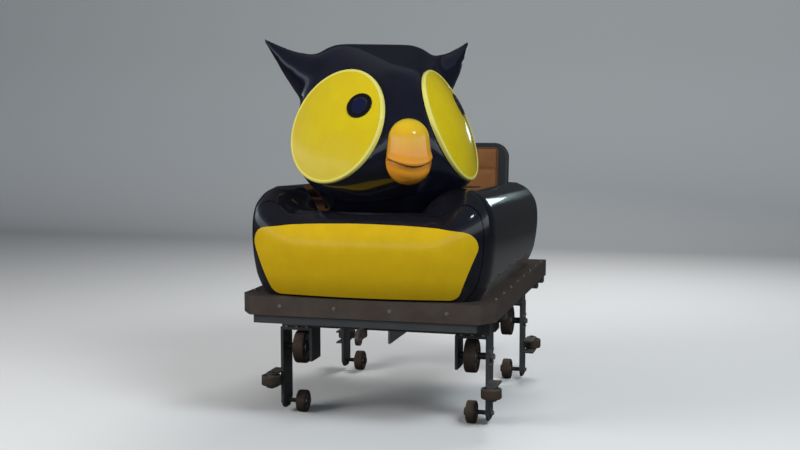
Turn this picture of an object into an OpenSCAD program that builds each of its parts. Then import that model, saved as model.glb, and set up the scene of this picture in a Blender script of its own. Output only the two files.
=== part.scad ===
// Lead car of a small tubular-rail roller coaster, with an owl's head on its nose.
// +X is forward, +Y the car's left and +Z up. The origin is on the floor, in the
// middle of the car's length and width. The car stands on its up-stop wheels.

/* [Rails and wheels] */
// Distance between the centres of the two rail tubes
gauge = 780; // [740:5:800]
// Diameter of a rail tube
rail_d = 120; // [100:5:125]
// Diameter of a road wheel, which runs on top of its rail
road_d = 150; // [130:2:160]
// Width of a road wheel's tread
road_w = 50; // [36:2:60]
// Diameter of an up-stop wheel, which runs under its rail
upstop_d = 100; // [80:2:120]
// Width of an up-stop wheel's tread
upstop_w = 42; // [30:2:50]
// Diameter of a guide wheel, which runs on the outside of its rail
guide_d = 90; // [76:2:96]
// Height of a guide wheel's tread
guide_w = 44; // [30:2:50]
// Gap between the rail and the up-stop wheels
upstop_gap = 5; // [3:1:8]
// Gap between the rail and the guide wheels
guide_gap = 3; // [2:1:5]
// Axle distance
wheelbase = 900; // [860:10:940]

/* [Wheel carriers] */
// Thickness of a carrier's plates
plate_t = 12; // [8:1:14]
// Length of a carrier's outer plate along the rail
plate_l = 120; // [100:5:130]
// Gap between the rail and a carrier's outer plate
plate_gap = 12; // [8:1:16]
// Distance from an axle to its guide wheel, along the rail
guide_lead = 115; // [113:1:125]
// Radius of a road wheel's axle pin
road_pin_r = 15; // [10:1:18]
// Radius of an up-stop or guide wheel's axle pin
small_pin_r = 10; // [8:1:12]
// Running clearance of a pin in its bore, on the radius
pin_fit = 0.05; // [0.02:0.01:0.1]

/* [Chassis] */
// Width of an axle beam along the car
beam_w = 80; // [60:5:90]
// Height of an axle beam
beam_h = 60; // [50:5:70]
// Gap between the front axle beam and the chassis, taken up by the thrust ring
turn_gap = 13; // [8:1:16]
// Radius of the front axle's king pin
king_r = 20; // [15:1:24]
// Height of the chassis rails and cross members
frame_h = 50; // [40:5:60]
// Width of a chassis rail
frame_w = 60; // [40:5:70]
// Distance from the middle of the car to a chassis rail's inner side
frame_y = 90; // [75:5:110]
// Depth of the drive fin below the chassis
fin_h = 150; // [100:5:180]
// Thickness of the drive fin
fin_t = 10; // [8:1:14]

/* [Skirt and floor] */
// Front face of the skirt, ahead of the origin
skirt_front = 825; // [815:5:840]
// Rear face of the skirt, behind the origin
skirt_rear = 680; // [670:5:700]
// Half the width of the skirt
skirt_y = 550; // [540:5:555]
// Height of the skirt
skirt_h = 80; // [70:5:90]
// Thickness of the skirt's flat bar
skirt_t = 8; // [5:1:10]
// Width of the skirt's ledge, on which the body stands
ledge_w = 110; // [100:5:120]
// Length of the front corners' chamfer along the car
chamfer_x = 80; // [70:5:100]
// Width of the front corners' chamfer across the car
chamfer_y = 55; // [45:5:70]
// Thickness of the floor
floor_t = 12; // [8:1:16]

/* [Body shell] */
// Front of the body at its widest
body_front = 870; // [850:5:890]
// Rear of the body at its widest
body_rear = 640; // [620:5:660]
// Half the width of the body at its widest
body_y = 535; // [530:1:540]
// Radius of the body's front corners
front_r = 170; // [150:5:200]
// Radius of the body's rear corners
rear_r = 150; // [130:5:170]
// How far the front's middle stands ahead of its corners
front_crown = 35; // [10:5:50]
// Wall of the body mouldings
wall = 12; // [8:1:14]
// Height of the rolled rim above the skirt, at the front shoulders
shoulder_h = 455; // [440:5:460]
// Height of the rolled rim above the skirt, in the middle of the front
dip_h = 360; // [355:5:390]
// Height of the rolled rim above the skirt, at the rear
rim_rear_h = 410; // [390:5:430]
// Width of the rim beside the opening
rim_w = 140; // [136:1:144]
// Front of the opening, ahead of the origin
opening_front = 770; // [765:1:775]
// Seam between the nose moulding and the side mouldings, round the front corner
nose_seam = 760; // [745:5:775]
// Seam between the side mouldings and the rear moulding, behind the origin
rear_seam = 500; // [480:5:510]
// Height of the deck's top under the dip of the rim
deck_drop = 5; // [2:1:8]
// Rear edge of the deck
deck_rear = 120; // [110:5:130]
// Rear face of the toe board under the deck
toe_x = 480; // [470:5:500]
// Thickness of the deck's upstand at the rim
upstand_t = 5; // [5:1:8]
// Thickness of the belly panel
belly_t = 8; // [5:1:10]

/* [Head] */
// Place of the head's upright axis, ahead of the origin
head_x = 490; // [480:5:495]
// Angle that the head looks to the car's left
head_turn = 31; // [0:1:45]
// Radius of the neck
neck_r = 230; // [220:5:240]
// Height of the eyes' centres above the rail
eye_h = 1075; // [1065:5:1095]
// Distance from the head's axis to the middle of an eye's seat
eye_reach = 300; // [298:1:304]
// Angle from straight ahead to each eye
eye_splay = 54; // [53:1:55]
// Angle that the eyes look up
eye_tilt = 22; // [21:1:23]
// Half the width of an eye
eye_w = 239; // [225:1:240]
// Half the height of an eye
eye_tall = 252; // [235:1:254]
// Thickness of an eye's edge
eye_edge = 10; // [6:1:14]
// Height of an eye's dome above its edge
eye_dome = 42; // [30:1:55]
// Radius of a pupil
pupil_r = 56; // [45:1:65]
// Wall of the head moulding
head_wall = 10; // [6:1:12]

/* [Seat and lap bar] */
// Half the width of the seat moulding
seat_y = 385; // [370:5:388]
// Height of the seat moulding above the floor
seat_h = 213; // [190:1:230]
// Front edge of the seat, behind the origin
seat_front = 80; // [70:5:90]
// Front of the backrest at the seat, behind the origin
back_x = 400; // [390:5:410]
// Length of the backrest above the seat
back_l = 455; // [420:5:480]
// Lean of the backrest
back_lean = 7; // [4:1:8]
// Thickness of the backrest moulding
back_t = 50; // [40:5:60]
// Thickness of the cushions
cushion_t = 62; // [50:1:70]
// Half the width of the cushions
cushion_y = 348; // [320:2:350]
// Radius of the lap bar's tube
bar_r = 16; // [12:1:18]
// Distance from the middle of the car to the middle of a lap bar arm
bar_y = 372; // [368:1:373]
// Radius of the lap bar's pivot pins
bar_pin_r = 12; // [10:1:14]
// Distance of the bar's pivot ahead of the origin
bar_pivot_x = 40; // [38:1:42]
// Height of the bar's pivot above the floor
bar_pivot_h = 168; // [165:1:171]
// Distance of the closed bar's cross tube behind the origin
bar_cross_x = 190; // [185:1:200]
// Height of the closed bar's cross tube above the floor
bar_cross_h = 428; // [425:1:440]
// Thickness of the pad's foam
pad_t = 19; // [12:1:20]
// Distance from an arm's middle to the pad's end
pad_end_gap = 72; // [40:2:100]

/* [Coupling] */
// Distance from the origin to the drawbar's far end
coupling_end = 900; // [880:5:920]
// Radius of the bores at the drawbar's two ends
coupling_r = 15; // [12:1:18]

/* [Hidden] */

// Facets of the exact round parts, and of the smooth shells
$fn = 64;
shell_fn = 32;
// More than the size of any piece, for cuts
far = 4000;
// Gap between two pieces that rest on each other
seat_gap = 0.3;

// Heights, from the floor under the up-stop wheels
rail_y = gauge / 2;
rail_bottom = upstop_d + upstop_gap;
rail_mid = rail_bottom + rail_d / 2;
rail_top = rail_bottom + rail_d;
road_z = rail_top + road_d / 2;
carrier_top = rail_top + road_d + 10 + plate_t;
beam_top = carrier_top + beam_h;
frame_z = beam_top + turn_gap;
floor_z = frame_z + frame_h;
skirt_z = floor_z - 15;
body_z = skirt_z + skirt_h;
deck_z = body_z + dip_h - deck_drop;
floor_top = floor_z + floor_t;

// Wheel carriers
plate_y = rail_y + rail_d / 2 + plate_gap;
inner_plate_y = rail_y - road_w / 2 - 27;
guide_y = rail_y + rail_d / 2 + guide_gap + guide_d / 2;
front_axle_x = wheelbase / 2;
rear_axle_x = -wheelbase / 2;

// Body stations: the corner circles of the plan, and how the side's profile curves.
// Columns: height above the skirt, inset from the widest outline
low_rows = [[0, 60], [60, 32], [140, 9], [220, 0]];
// Columns: drop below the rim's top, inset from the widest outline
rim_rows = [[130, 0], [85, 14], [48, 38], [20, 70], [0, 110]];
corner_x = body_front - front_r - front_crown;
corner_y = body_y - front_r;
// Radius of the nose's rolled edge, and of the arc that its centre follows round a corner
roll_r = front_r - 44;
arc_r = front_r - roll_r;
// Where the nose has a section: shares of corner_y, then angles round the corner
nose_shares = [0, 0.4, 0.8, 0.87, 0.94, 1];
nose_angles = [22.5, 45, 67.5, 90];
// Columns: centre of the roll in X and Y, and its distance along the path from the middle
nose_stations = concat(
  [for (s = nose_shares) [body_front - roll_r - front_crown * s * s, corner_y * s, corner_y * s]],
  [for (a = nose_angles)
    [corner_x + arc_r * cos(a), corner_y + arc_r * sin(a), corner_y + arc_r * a * PI / 180]]);
// Where along the path the rim starts to rise, and the length over which it rises
rise_from = corner_y - 40;
rise_l = 100;
// Where the nose's sections end behind, and where they meet the sides
nose_back = corner_x - 130;
nose_join = nose_back + 5;

// Opening of the body, round in front and straight behind
opening_r = body_y - rim_w;
opening_x = opening_front - opening_r;
opening_rear = -530;

// Eyes
eye_z = rail_top + eye_h;
eye_sphere = (eye_tall * eye_tall + eye_dome * eye_dome) / (2 * eye_dome);
// Seat of the beak ahead of the head's axis, and its middle under the eyes' centres
beak_seat = 389;
beak_drop = 94;

// Lap bar, in the plane of the arms
bar_pivot = [bar_pivot_x, floor_top + bar_pivot_h];
bar_cross = [-bar_cross_x, floor_top + bar_cross_h];
bar_reach = norm(bar_cross - bar_pivot);
bar_angle = atan2(bar_cross[1] - bar_pivot[1], bar_cross[0] - bar_pivot[0]);
boss_t = 2 * bar_r + 2;

// Coupling
coupling_pin_x = -730;
coupling_z = frame_z - 30;
tongue_t = 34;

// A cylinder along Y, in the middle of y
module y_cylinder(x, y, z, r, w) {
  translate([x, y, z]) rotate([90, 0, 0]) cylinder(r = r, h = w, center = true);
}

// Places a carrier or wheel: sx is 1 in front and -1 behind, sy is 1 on the left and -1 on the right
module at_corner(sx, sy) {
  translate([sx * wheelbase / 2, 0, 0]) mirror([sx < 0 ? 1 : 0, 0, 0]) mirror([0, sy < 0 ? 1 : 0, 0])
    children();
}

module carrier() {
  color("dimgray") {
    // Outer plate, down to the up-stop wheel's pin
    translate([-plate_l / 2, plate_y, upstop_d / 2]) cube([plate_l, plate_t, carrier_top - upstop_d / 2]);
    intersection() {
      y_cylinder(0, plate_y + plate_t / 2, upstop_d / 2 + 25, plate_l / 2, plate_t);
      translate([-far / 2, 0, upstop_d / 2 - 30]) cube([far, far, 32]);
    }
    // Inner plate and top plate, round the road wheel
    translate([-plate_l / 2, inner_plate_y - plate_t, rail_top + 20])
      cube([plate_l, plate_t, carrier_top - rail_top - 20]);
    translate([-plate_l / 2, inner_plate_y - plate_t, carrier_top - plate_t])
      cube([plate_l, plate_y - inner_plate_y + 2 * plate_t, plate_t]);
    // Road wheel's pin, and the up-stop wheel's pin with its cap
    y_cylinder(0, (plate_y + inner_plate_y) / 2, road_z, road_pin_r, plate_y - inner_plate_y + 2);
    y_cylinder(0, plate_y + plate_t, road_z, road_pin_r + 9, 14);
    upstop_in = rail_y - upstop_w / 2 - 4;
    y_cylinder(0, (plate_y + upstop_in) / 2, upstop_d / 2, small_pin_r, plate_y - upstop_in + 2);
    y_cylinder(0, upstop_in - 3, upstop_d / 2, small_pin_r + 7, 8);
    y_cylinder(0, plate_y + plate_t, upstop_d / 2, small_pin_r + 7, 12);
    // Two arms that hold the guide wheel between them
    for (z = [rail_mid - guide_w / 2 - 2 - 8, rail_mid + guide_w / 2 + 2]) {
      translate([0, plate_y + plate_t - 1, z]) cube([guide_lead, guide_y + 24 - plate_y - plate_t + 1, 8]);
      translate([guide_lead, guide_y, z]) cylinder(r = 24, h = 8);
    }
    translate([guide_lead, guide_y, rail_mid - guide_w / 2 - 16])
      cylinder(r = small_pin_r, h = guide_w + 32);
  }
}

// A wheel about Z, with its tread, its hub and its bore
module wheel(d, w, bore_r, hub_r) {
  color("goldenrod")
    rotate_extrude()
      polygon([[bore_r, -w / 2 - 1.5], [hub_r, -w / 2 - 1.5], [hub_r, -w / 2 + 5], [d / 2 - 16, -w / 2 + 5],
        [d / 2 - 14, -w / 2], [d / 2 - 4, -w / 2], [d / 2, -w / 2 + 5], [d / 2, w / 2 - 5],
        [d / 2 - 4, w / 2], [d / 2 - 14, w / 2], [d / 2 - 16, w / 2 - 5], [hub_r, w / 2 - 5],
        [hub_r, w / 2 + 1.5], [bore_r, w / 2 + 1.5]]);
}

module road_wheel(sx, sy) {
  at_corner(sx, sy) translate([0, rail_y, road_z]) rotate([90, 0, 0])
    wheel(road_d, road_w, road_pin_r + pin_fit, road_pin_r + 14);
}

module upstop_wheel(sx, sy) {
  at_corner(sx, sy) translate([0, rail_y, upstop_d / 2]) rotate([90, 0, 0])
    wheel(upstop_d, upstop_w, small_pin_r + pin_fit, small_pin_r + 10);
}

module guide_wheel(sx, sy) {
  at_corner(sx, sy) translate([guide_lead, guide_y, rail_mid])
    wheel(guide_d, guide_w, small_pin_r + pin_fit, small_pin_r + 10);
}

// Axle beam over its two carriers
module beam(x) {
  beam_y = plate_y + plate_t;
  translate([x - beam_w / 2, -beam_y, carrier_top]) cube([beam_w, 2 * beam_y, beam_h]);
}

module front_axle() {
  color("dimgray") {
    beam(front_axle_x);
    // Thrust ring and king pin, on which the axle turns under the chassis
    translate([front_axle_x, 0, beam_top]) cylinder(r = king_r + 35, h = turn_gap - seat_gap);
    translate([front_axle_x, 0, beam_top]) cylinder(r = king_r, h = turn_gap + frame_h - 2);
  }
}

module rear_axle() {
  color("dimgray") {
    beam(rear_axle_x);
    for (s = [-1, 1]) translate([rear_axle_x - 30, s * (frame_y + frame_w / 2) - 30, beam_top])
      cube([60, 60, turn_gap]);
  }
}

module chassis() {
  cross_y = skirt_y - skirt_t;
  front_x = skirt_front - skirt_t;
  rear_x = -skirt_rear + skirt_t;
  color("dimgray") {
    difference() {
      union() {
        for (s = [-1, 1]) translate([rear_x, s * (frame_y + frame_w / 2) - frame_w / 2, frame_z])
          cube([front_x - rear_x, frame_w, frame_h]);
        // Cross members, whose ends carry the skirt
        for (x = [front_axle_x, 0, rear_axle_x])
          translate([x - 25, -cross_y, frame_z]) cube([50, 2 * cross_y, frame_h]);
        translate([front_x - 50, -(skirt_y - chamfer_y - 15), frame_z])
          cube([50, 2 * (skirt_y - chamfer_y - 15), frame_h]);
        translate([rear_x, -cross_y, frame_z]) cube([50, 2 * cross_y, frame_h]);
        // Bearing block of the king pin
        translate([front_axle_x - 60, -frame_y - 2, frame_z]) cube([120, 2 * frame_y + 4, frame_h]);
      }
      translate([front_axle_x, 0, frame_z - 1]) cylinder(r = king_r + pin_fit, h = frame_h + 2);
    }
    // Clevis of the drawbar and its pin
    for (z = [frame_z - 12, coupling_z - tongue_t / 2 - 1 - 12])
      translate([coupling_pin_x - 40, -45, z]) cube([rear_x + 45 - coupling_pin_x + 40, 90, 12]);
    translate([rear_x + 33, -45, coupling_z - tongue_t / 2 - 13])
      cube([12, 90, frame_z - coupling_z + tongue_t / 2 + 13]);
    translate([coupling_pin_x, 0, coupling_z - tongue_t / 2 - 22])
      cylinder(r = coupling_r, h = frame_z - coupling_z + tongue_t / 2 + 22);
    translate([coupling_pin_x, 0, frame_z - 1]) cylinder(r = coupling_r + 8, h = 11);
    translate([coupling_pin_x, 0, coupling_z - tongue_t / 2 - 24]) cylinder(r = coupling_r + 8, h = 12);
  }
}

module drive_fin() {
  fin_x = wheelbase / 2 - beam_w / 2 - 15;
  color("silver") {
    translate([-fin_x, -fin_t / 2, frame_z - fin_h]) cube([2 * fin_x, fin_t, fin_h]);
    translate([-fin_x, -50, frame_z - 6]) cube([2 * fin_x, 100, 6]);
  }
}

// Plan of the skirt, shrunk by inset: square behind, with chamfered front corners
module skirt_plan(inset) {
  front = skirt_front - inset;
  side = skirt_y - inset;
  rear = -skirt_rear + inset;
  // The chamfer keeps its slope, so its ends move by the offset of a slanted line
  slope = sqrt(chamfer_x * chamfer_x + chamfer_y * chamfer_y);
  cut_x = chamfer_x + inset * ((slope - chamfer_y) / chamfer_x - 1) * 0.5;
  cut_y = chamfer_y + inset * ((slope - chamfer_x) / chamfer_y - 1) * 0.5;
  polygon([[rear, -side], [front - cut_x, -side], [front, -side + cut_y], [front, side - cut_y],
    [front - cut_x, side], [rear, side]]);
}

module skirt_frame() {
  color("darkgray") {
    difference() {
      translate([0, 0, skirt_z]) linear_extrude(skirt_h) skirt_plan(0);
      translate([0, 0, skirt_z - 1]) linear_extrude(skirt_h - skirt_t + 1) skirt_plan(skirt_t);
      translate([0, 0, skirt_z - 1]) linear_extrude(skirt_h + 2) skirt_plan(ledge_w);
    }
  }
}

module floor_panel() {
  color("dimgray") translate([0, 0, floor_z]) linear_extrude(floor_t) skirt_plan(skirt_t + 12);
}

// One corner of the body: circles that follow the side's profile up to the rim
module stack(x, y, r, rim, grow) {
  for (row = low_rows) {
    z = body_z + row[0] + (row[0] == 0 && grow < 0 ? grow : 0);
    translate([x, y, z]) cylinder(r = r - row[1] + grow, h = 1, $fn = shell_fn);
  }
  for (row = rim_rows)
    translate([x, y, body_z + rim - row[0] - 1 + grow])
      cylinder(r = r - row[1] + grow, h = 1, $fn = shell_fn);
}

// Height of the side's rim above the skirt, which falls from the shoulders to the rear
function side_rim(x) =
  rim_rear_h + (shoulder_h - rim_rear_h) * (x + body_rear - rear_r) / (corner_x + body_rear - rear_r);

// Share of its whole rise that the rim has at a distance along the nose's path
function rise(path) =
  let (t = min(1, max(0, (path - rise_from) / rise_l)))
  (1 - cos(180 * t)) / 2;

// The nose at one station, in front and behind
module nose_section(station, side, grow) {
  y = side * station[1];
  stack(station[0], y, roll_r, dip_h + (shoulder_h - dip_h) * rise(station[2]), grow);
  back_rise = min(1, max(0, (station[1] - corner_y + 35) / 35));
  stack(nose_back, y, roll_r, dip_h + (side_rim(nose_back) - dip_h) * back_rise, grow);
}

// The whole nose as a solid, between stations
module nose_solid(grow) {
  for (side = [-1, 1], i = [0:len(nose_stations) - 2])
    hull() {
      nose_section(nose_stations[i], side, grow);
      nose_section(nose_stations[i + 1], side, grow);
    }
}

// The sides and rear as one solid, whose rim falls towards the rear
module tub_solid(grow) {
  hull()
    for (s = [-1, 1]) {
      stack(corner_x, s * corner_y, front_r, shoulder_h, grow);
      stack(-body_rear + rear_r, s * (body_y - rear_r), rear_r, rim_rear_h, grow);
    }
}

// The whole body as a solid, with the nose ahead of the sides
module body_solid(grow) {
  intersection() {
    nose_solid(grow);
    slab(nose_join, far, -far / 2, far / 2);
  }
  intersection() {
    tub_solid(grow);
    slab(-far / 2, nose_join, -far / 2, far / 2);
  }
}

// The opening through the rim, shrunk by inset
module opening_plan(inset) {
  translate([opening_x, 0]) circle(r = opening_r - inset, $fn = 128);
  translate([opening_rear + inset, -opening_r + inset])
    square([opening_x - opening_rear - inset, 2 * (opening_r - inset)]);
}

module opening_cut() {
  translate([0, 0, deck_z - 20]) linear_extrude(far) opening_plan(0);
}

// The part of space with x between a and b, and y between c and d
module slab(a, b, c, d) {
  translate([a, c, -1]) cube([b - a, d - c, far]);
}

module nose_shell() {
  color("black")
    difference() {
      intersection() {
        nose_solid(0);
        slab(nose_seam, far, -far / 2, far / 2);
      }
      nose_solid(-wall);
      opening_cut();
    }
}

module side_shell(sy) {
  color("black")
    difference() {
      intersection() {
        body_solid(0);
        slab(-rear_seam, nose_seam, sy > 0 ? 0 : -far / 2, sy > 0 ? far / 2 : 0);
      }
      body_solid(-wall);
      opening_cut();
    }
}

module rear_shell() {
  color("black")
    difference() {
      intersection() {
        tub_solid(0);
        slab(-far / 2, -rear_seam, -far / 2, far / 2);
      }
      tub_solid(-wall);
      opening_cut();
    }
}

// Outline of the belly panel, seen from in front: wide shoulders, slanted sides, round corners
module belly_plan() {
  // Columns: distance from the middle, height above the skirt, radius of the corner
  corners = [[416, 232, 62], [362, 62, 50]];
  hull() {
    for (c = corners, s = [-1, 1]) translate([s * c[0], c[1]]) circle(r = c[2], $fn = shell_fn);
    translate([0, 280]) circle(r = 35, $fn = shell_fn);
  }
}

module belly_panel() {
  color("gold")
    intersection() {
      difference() {
        nose_solid(belly_t);
        nose_solid(0);
      }
      translate([nose_join, 0, body_z]) rotate([90, 0, 90]) linear_extrude(far) belly_plan();
    }
}

// The part of the opening that the deck covers, shrunk by inset at the rim
module deck_plan(inset) {
  intersection() {
    opening_plan(inset);
    translate([deck_rear, -far / 2]) square([far, far]);
  }
}

module deck() {
  color("black") {
    // Deck that closes the opening round the head's neck
    translate([0, 0, deck_z - wall]) linear_extrude(wall) deck_plan(seat_gap);
    // Upstand along its edge, up to the rim
    intersection() {
      translate([0, 0, deck_z - wall]) linear_extrude(far) difference() {
        deck_plan(seat_gap);
        opening_plan(seat_gap + upstand_t);
      }
      body_solid(-2);
    }
    // Dash lip behind it, and the toe board that carries it
    translate([deck_rear, -opening_r + seat_gap, deck_z - 110])
      cube([wall, 2 * (opening_r - seat_gap), 110 - wall + 1]);
    translate([toe_x, -opening_r + 20, floor_top])
      cube([wall, 2 * (opening_r - 20), deck_z - wall - floor_top + 1]);
  }
}

// Places children on the head's own axes: +X where the head looks
module on_head() {
  translate([head_x, 0, 0]) rotate([0, 0, head_turn]) children();
}

// Places children on an eye's seat, with +Z out of the eye
module on_eye(side) {
  rotate([0, 0, side * eye_splay]) translate([eye_reach, 0, eye_z]) rotate([0, 90 - eye_tilt, 0])
    children();
}

// Outline of an eye, grown outwards by grow
module eye_plan(grow) {
  polygon([for (a = [0:7.5:352.5]) [(eye_tall + grow) * cos(a), (eye_w + grow) * sin(a)]]);
}

// The skull: crown, sides, cheeks and forehead as spheres, with flat seats for eyes and beak
module skull(grow) {
  // Columns: forward, to each side, height above the eyes, radius
  lumps = [[-130, 140, 190, 165], [-110, 130, -20, 225], [60, 100, -110, 165], [135, 0, 90, 160]];
  hull() {
    for (l = lumps, s = [-1, 1])
      translate([l[0], s * l[1], eye_z + l[2]]) sphere(r = l[3] + grow, $fn = shell_fn);
    for (s = [-1, 1])
      on_eye(s) translate([0, 0, grow - 1]) linear_extrude(1) eye_plan(4 + grow);
    translate([beak_seat + grow - 1, 0, eye_z - beak_drop]) rotate([0, 90, 0])
      cylinder(r = 96 + grow, h = 1, $fn = shell_fn);
    // Neck, down to the deck
    translate([0, 0, deck_z + (grow < 0 ? grow : seat_gap)])
      cylinder(r = neck_r + grow, h = 20, $fn = 48);
  }
}

// A pointed ear as tapering spheres, from the crown out to the tip
module ear(side) {
  // Columns: forward, outward, height above the eyes, radius
  knots = [[-130, 140, 190, 160], [-140, 240, 190, 120], [-165, 335, 245, 70], [-200, 405, 305, 34],
    [-240, 468, 368, 6]];
  for (i = [0:len(knots) - 2])
    hull()
      for (k = [knots[i], knots[i + 1]])
        translate([k[0], side * k[1], eye_z + k[2]]) sphere(r = k[3], $fn = shell_fn);
}

module head() {
  color("black")
    on_head()
      difference() {
        union() {
          skull(0);
          ear(1);
          ear(-1);
        }
        skull(-head_wall);
        // Flat foot, open downwards, on the deck
        translate([-far / 2, -far / 2, deck_z + seat_gap - far]) cube([far, far, far]);
      }
}

module eye(side) {
  color("yellow")
    on_head() on_eye(side) intersection() {
      translate([0, 0, eye_edge + eye_dome - eye_sphere]) sphere(r = eye_sphere, $fn = 128);
      translate([0, 0, seat_gap]) linear_extrude(eye_edge + eye_dome + 1) eye_plan(0);
    }
}

// Both eyes look to the owl's left and up, so each pupil stands off its eye's middle
module pupil(side) {
  off_left = 120;
  off_up = 78;
  color("black")
    on_head() on_eye(side) intersection() {
      difference() {
        translate([0, 0, eye_edge + eye_dome - eye_sphere]) sphere(r = eye_sphere + 4, $fn = 128);
        translate([0, 0, eye_edge + eye_dome - eye_sphere]) sphere(r = eye_sphere + seat_gap, $fn = 128);
      }
      translate([-off_up, off_left, 0]) cylinder(r = pupil_r, h = far);
    }
}

module beak() {
  color("orange")
    on_head() difference() {
      hull()
        // Columns: height of a sphere from the beak's middle, radius
        for (knob = [[-44, 97], [44, 86]])
          translate([beak_seat - 7, 0, eye_z - beak_drop + knob[0]]) sphere(r = knob[1], $fn = shell_fn);
      translate([beak_seat + seat_gap - far, -far / 2, 0]) cube([far, far, far]);
    }
}

module seat_moulding() {
  color("dimgray") {
    // The bench is a shell, open below
    difference() {
      translate([-back_x - 90, -seat_y, floor_top]) cube([back_x + 90 - seat_front, 2 * seat_y, seat_h]);
      translate([-back_x - 90 + wall, -seat_y + wall, floor_top - 1])
        cube([back_x + 90 - seat_front - 2 * wall, 2 * (seat_y - wall), seat_h - wall + 1]);
    }
    on_back() translate([-back_t, -seat_y, -wall]) cube([back_t, 2 * seat_y, back_l + wall]);
  }
}

// Places children on the backrest's front face, at the seat
module on_back() {
  translate([-back_x, 0, floor_top + seat_h]) rotate([0, -back_lean, 0]) children();
}

module seat_cushion() {
  color("saddlebrown")
    translate([-back_x + 12, -cushion_y, floor_top + seat_h])
      cube([back_x - seat_front - 20, 2 * cushion_y, cushion_t]);
}

module back_cushion() {
  color("saddlebrown")
    on_back() translate([0, -cushion_y, cushion_t + 14])
      cube([cushion_t, 2 * cushion_y, back_l - cushion_t - 34]);
}

// Places children at a lap bar pivot, with +X along the arm at rest
module on_bar() {
  translate([bar_pivot[0], 0, bar_pivot[1]]) rotate([0, -bar_angle, 0]) children();
}

module lap_bar() {
  color("silver")
    on_bar() {
      for (s = [-1, 1])
        difference() {
          union() {
            translate([0, s * bar_y, 0]) rotate([0, 90, 0]) cylinder(r = bar_r, h = bar_reach);
            y_cylinder(0, s * bar_y, 0, bar_pin_r + 12, boss_t);
            translate([bar_reach, s * bar_y, 0]) sphere(r = bar_r);
          }
          y_cylinder(0, s * bar_y, 0, bar_pin_r + pin_fit, boss_t + 20);
        }
      y_cylinder(bar_reach, 0, 0, bar_r, 2 * bar_y);
    }
}

module lap_bar_pad() {
  color("darkslategray")
    on_bar() difference() {
      y_cylinder(bar_reach, 0, 0, bar_r + pad_t, 2 * (bar_y - pad_end_gap));
      y_cylinder(bar_reach, 0, 0, bar_r, 2 * bar_y);
    }
}

module lap_bar_brackets() {
  plate_in = bar_y + boss_t / 2 + 3;
  pin_in = bar_y - boss_t / 2 - 1;
  // Stop peg under the closed bar's arm
  peg_r = 8;
  color("dimgray")
    for (s = [-1, 1]) {
      translate([bar_pivot[0] - 80, s * (plate_in + 5) - 5, floor_top])
        cube([115, 10, bar_pivot[1] + 50 - floor_top]);
      translate([bar_pivot[0] - 80, s > 0 ? plate_in : -plate_in - 40, floor_top]) cube([115, 40, 8]);
      y_cylinder(bar_pivot[0], s * (pin_in + plate_in + 1) / 2, bar_pivot[1], bar_pin_r, plate_in + 1 - pin_in);
      y_cylinder(bar_pivot[0], s * (pin_in - 3), bar_pivot[1], bar_pin_r + 6, 6);
      on_bar()
        y_cylinder(70, s * (bar_y + plate_in + 1) / 2, bar_r + peg_r + seat_gap, peg_r, plate_in + 1 - bar_y);
    }
}

module grab_handle() {
  handle_x = deck_rear - 32;
  handle_z = deck_z - 45;
  color("silver") {
    y_cylinder(handle_x, 0, handle_z, 12, 300);
    for (s = [-1, 1]) {
      translate([handle_x, s * 138, handle_z]) rotate([0, 90, 0]) cylinder(r = 10, h = deck_rear - handle_x);
      translate([deck_rear - 5, s * 138, handle_z]) rotate([0, 90, 0]) cylinder(r = 22, h = 5);
    }
  }
}

module tow_eye() {
  eye_x = coupling_end - 32;
  color("silver")
    difference() {
      union() {
        translate([skirt_front - skirt_t - 50, -8, frame_z - 45])
          cube([eye_x - skirt_front + skirt_t + 50, 16, 45]);
        y_cylinder(eye_x, 0, frame_z - 33, 32, 16);
      }
      y_cylinder(eye_x, 0, frame_z - 33, 12.5, 20);
    }
}

module drawbar() {
  eye_x = -coupling_end + 35;
  color("dimgray")
    difference() {
      union() {
        for (x = [coupling_pin_x, eye_x])
          translate([x, 0, coupling_z]) cylinder(r = 35, h = tongue_t, center = true);
        translate([eye_x, -20, coupling_z - tongue_t / 2]) cube([coupling_pin_x - eye_x, 40, tongue_t]);
      }
      translate([coupling_pin_x, 0, coupling_z]) cylinder(r = coupling_r + pin_fit, h = 60, center = true);
      translate([eye_x, 0, coupling_z]) cylinder(r = coupling_r, h = 60, center = true);
    }
}

chassis();
front_axle();
rear_axle();
at_corner(1, 1) carrier();  // carrier_front_left
at_corner(1, -1) carrier();  // carrier_front_right
at_corner(-1, 1) carrier();  // carrier_rear_left
at_corner(-1, -1) carrier();  // carrier_rear_right
road_wheel(1, 1);  // road_wheel_front_left
road_wheel(1, -1);  // road_wheel_front_right
road_wheel(-1, 1);  // road_wheel_rear_left
road_wheel(-1, -1);  // road_wheel_rear_right
guide_wheel(1, 1);  // guide_wheel_front_left
guide_wheel(1, -1);  // guide_wheel_front_right
guide_wheel(-1, 1);  // guide_wheel_rear_left
guide_wheel(-1, -1);  // guide_wheel_rear_right
upstop_wheel(1, 1);  // upstop_wheel_front_left
upstop_wheel(1, -1);  // upstop_wheel_front_right
upstop_wheel(-1, 1);  // upstop_wheel_rear_left
upstop_wheel(-1, -1);  // upstop_wheel_rear_right
drive_fin();
skirt_frame();
floor_panel();  // floor
nose_shell();
side_shell(1);  // side_shell_left
side_shell(-1);  // side_shell_right
rear_shell();
belly_panel();
deck();
head();
eye(1);  // eye_left
eye(-1);  // eye_right
pupil(1);  // pupil_left
pupil(-1);  // pupil_right
beak();
seat_moulding();
seat_cushion();
back_cushion();
lap_bar();
lap_bar_pad();
lap_bar_brackets();
grab_handle();
tow_eye();
drawbar();
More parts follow.
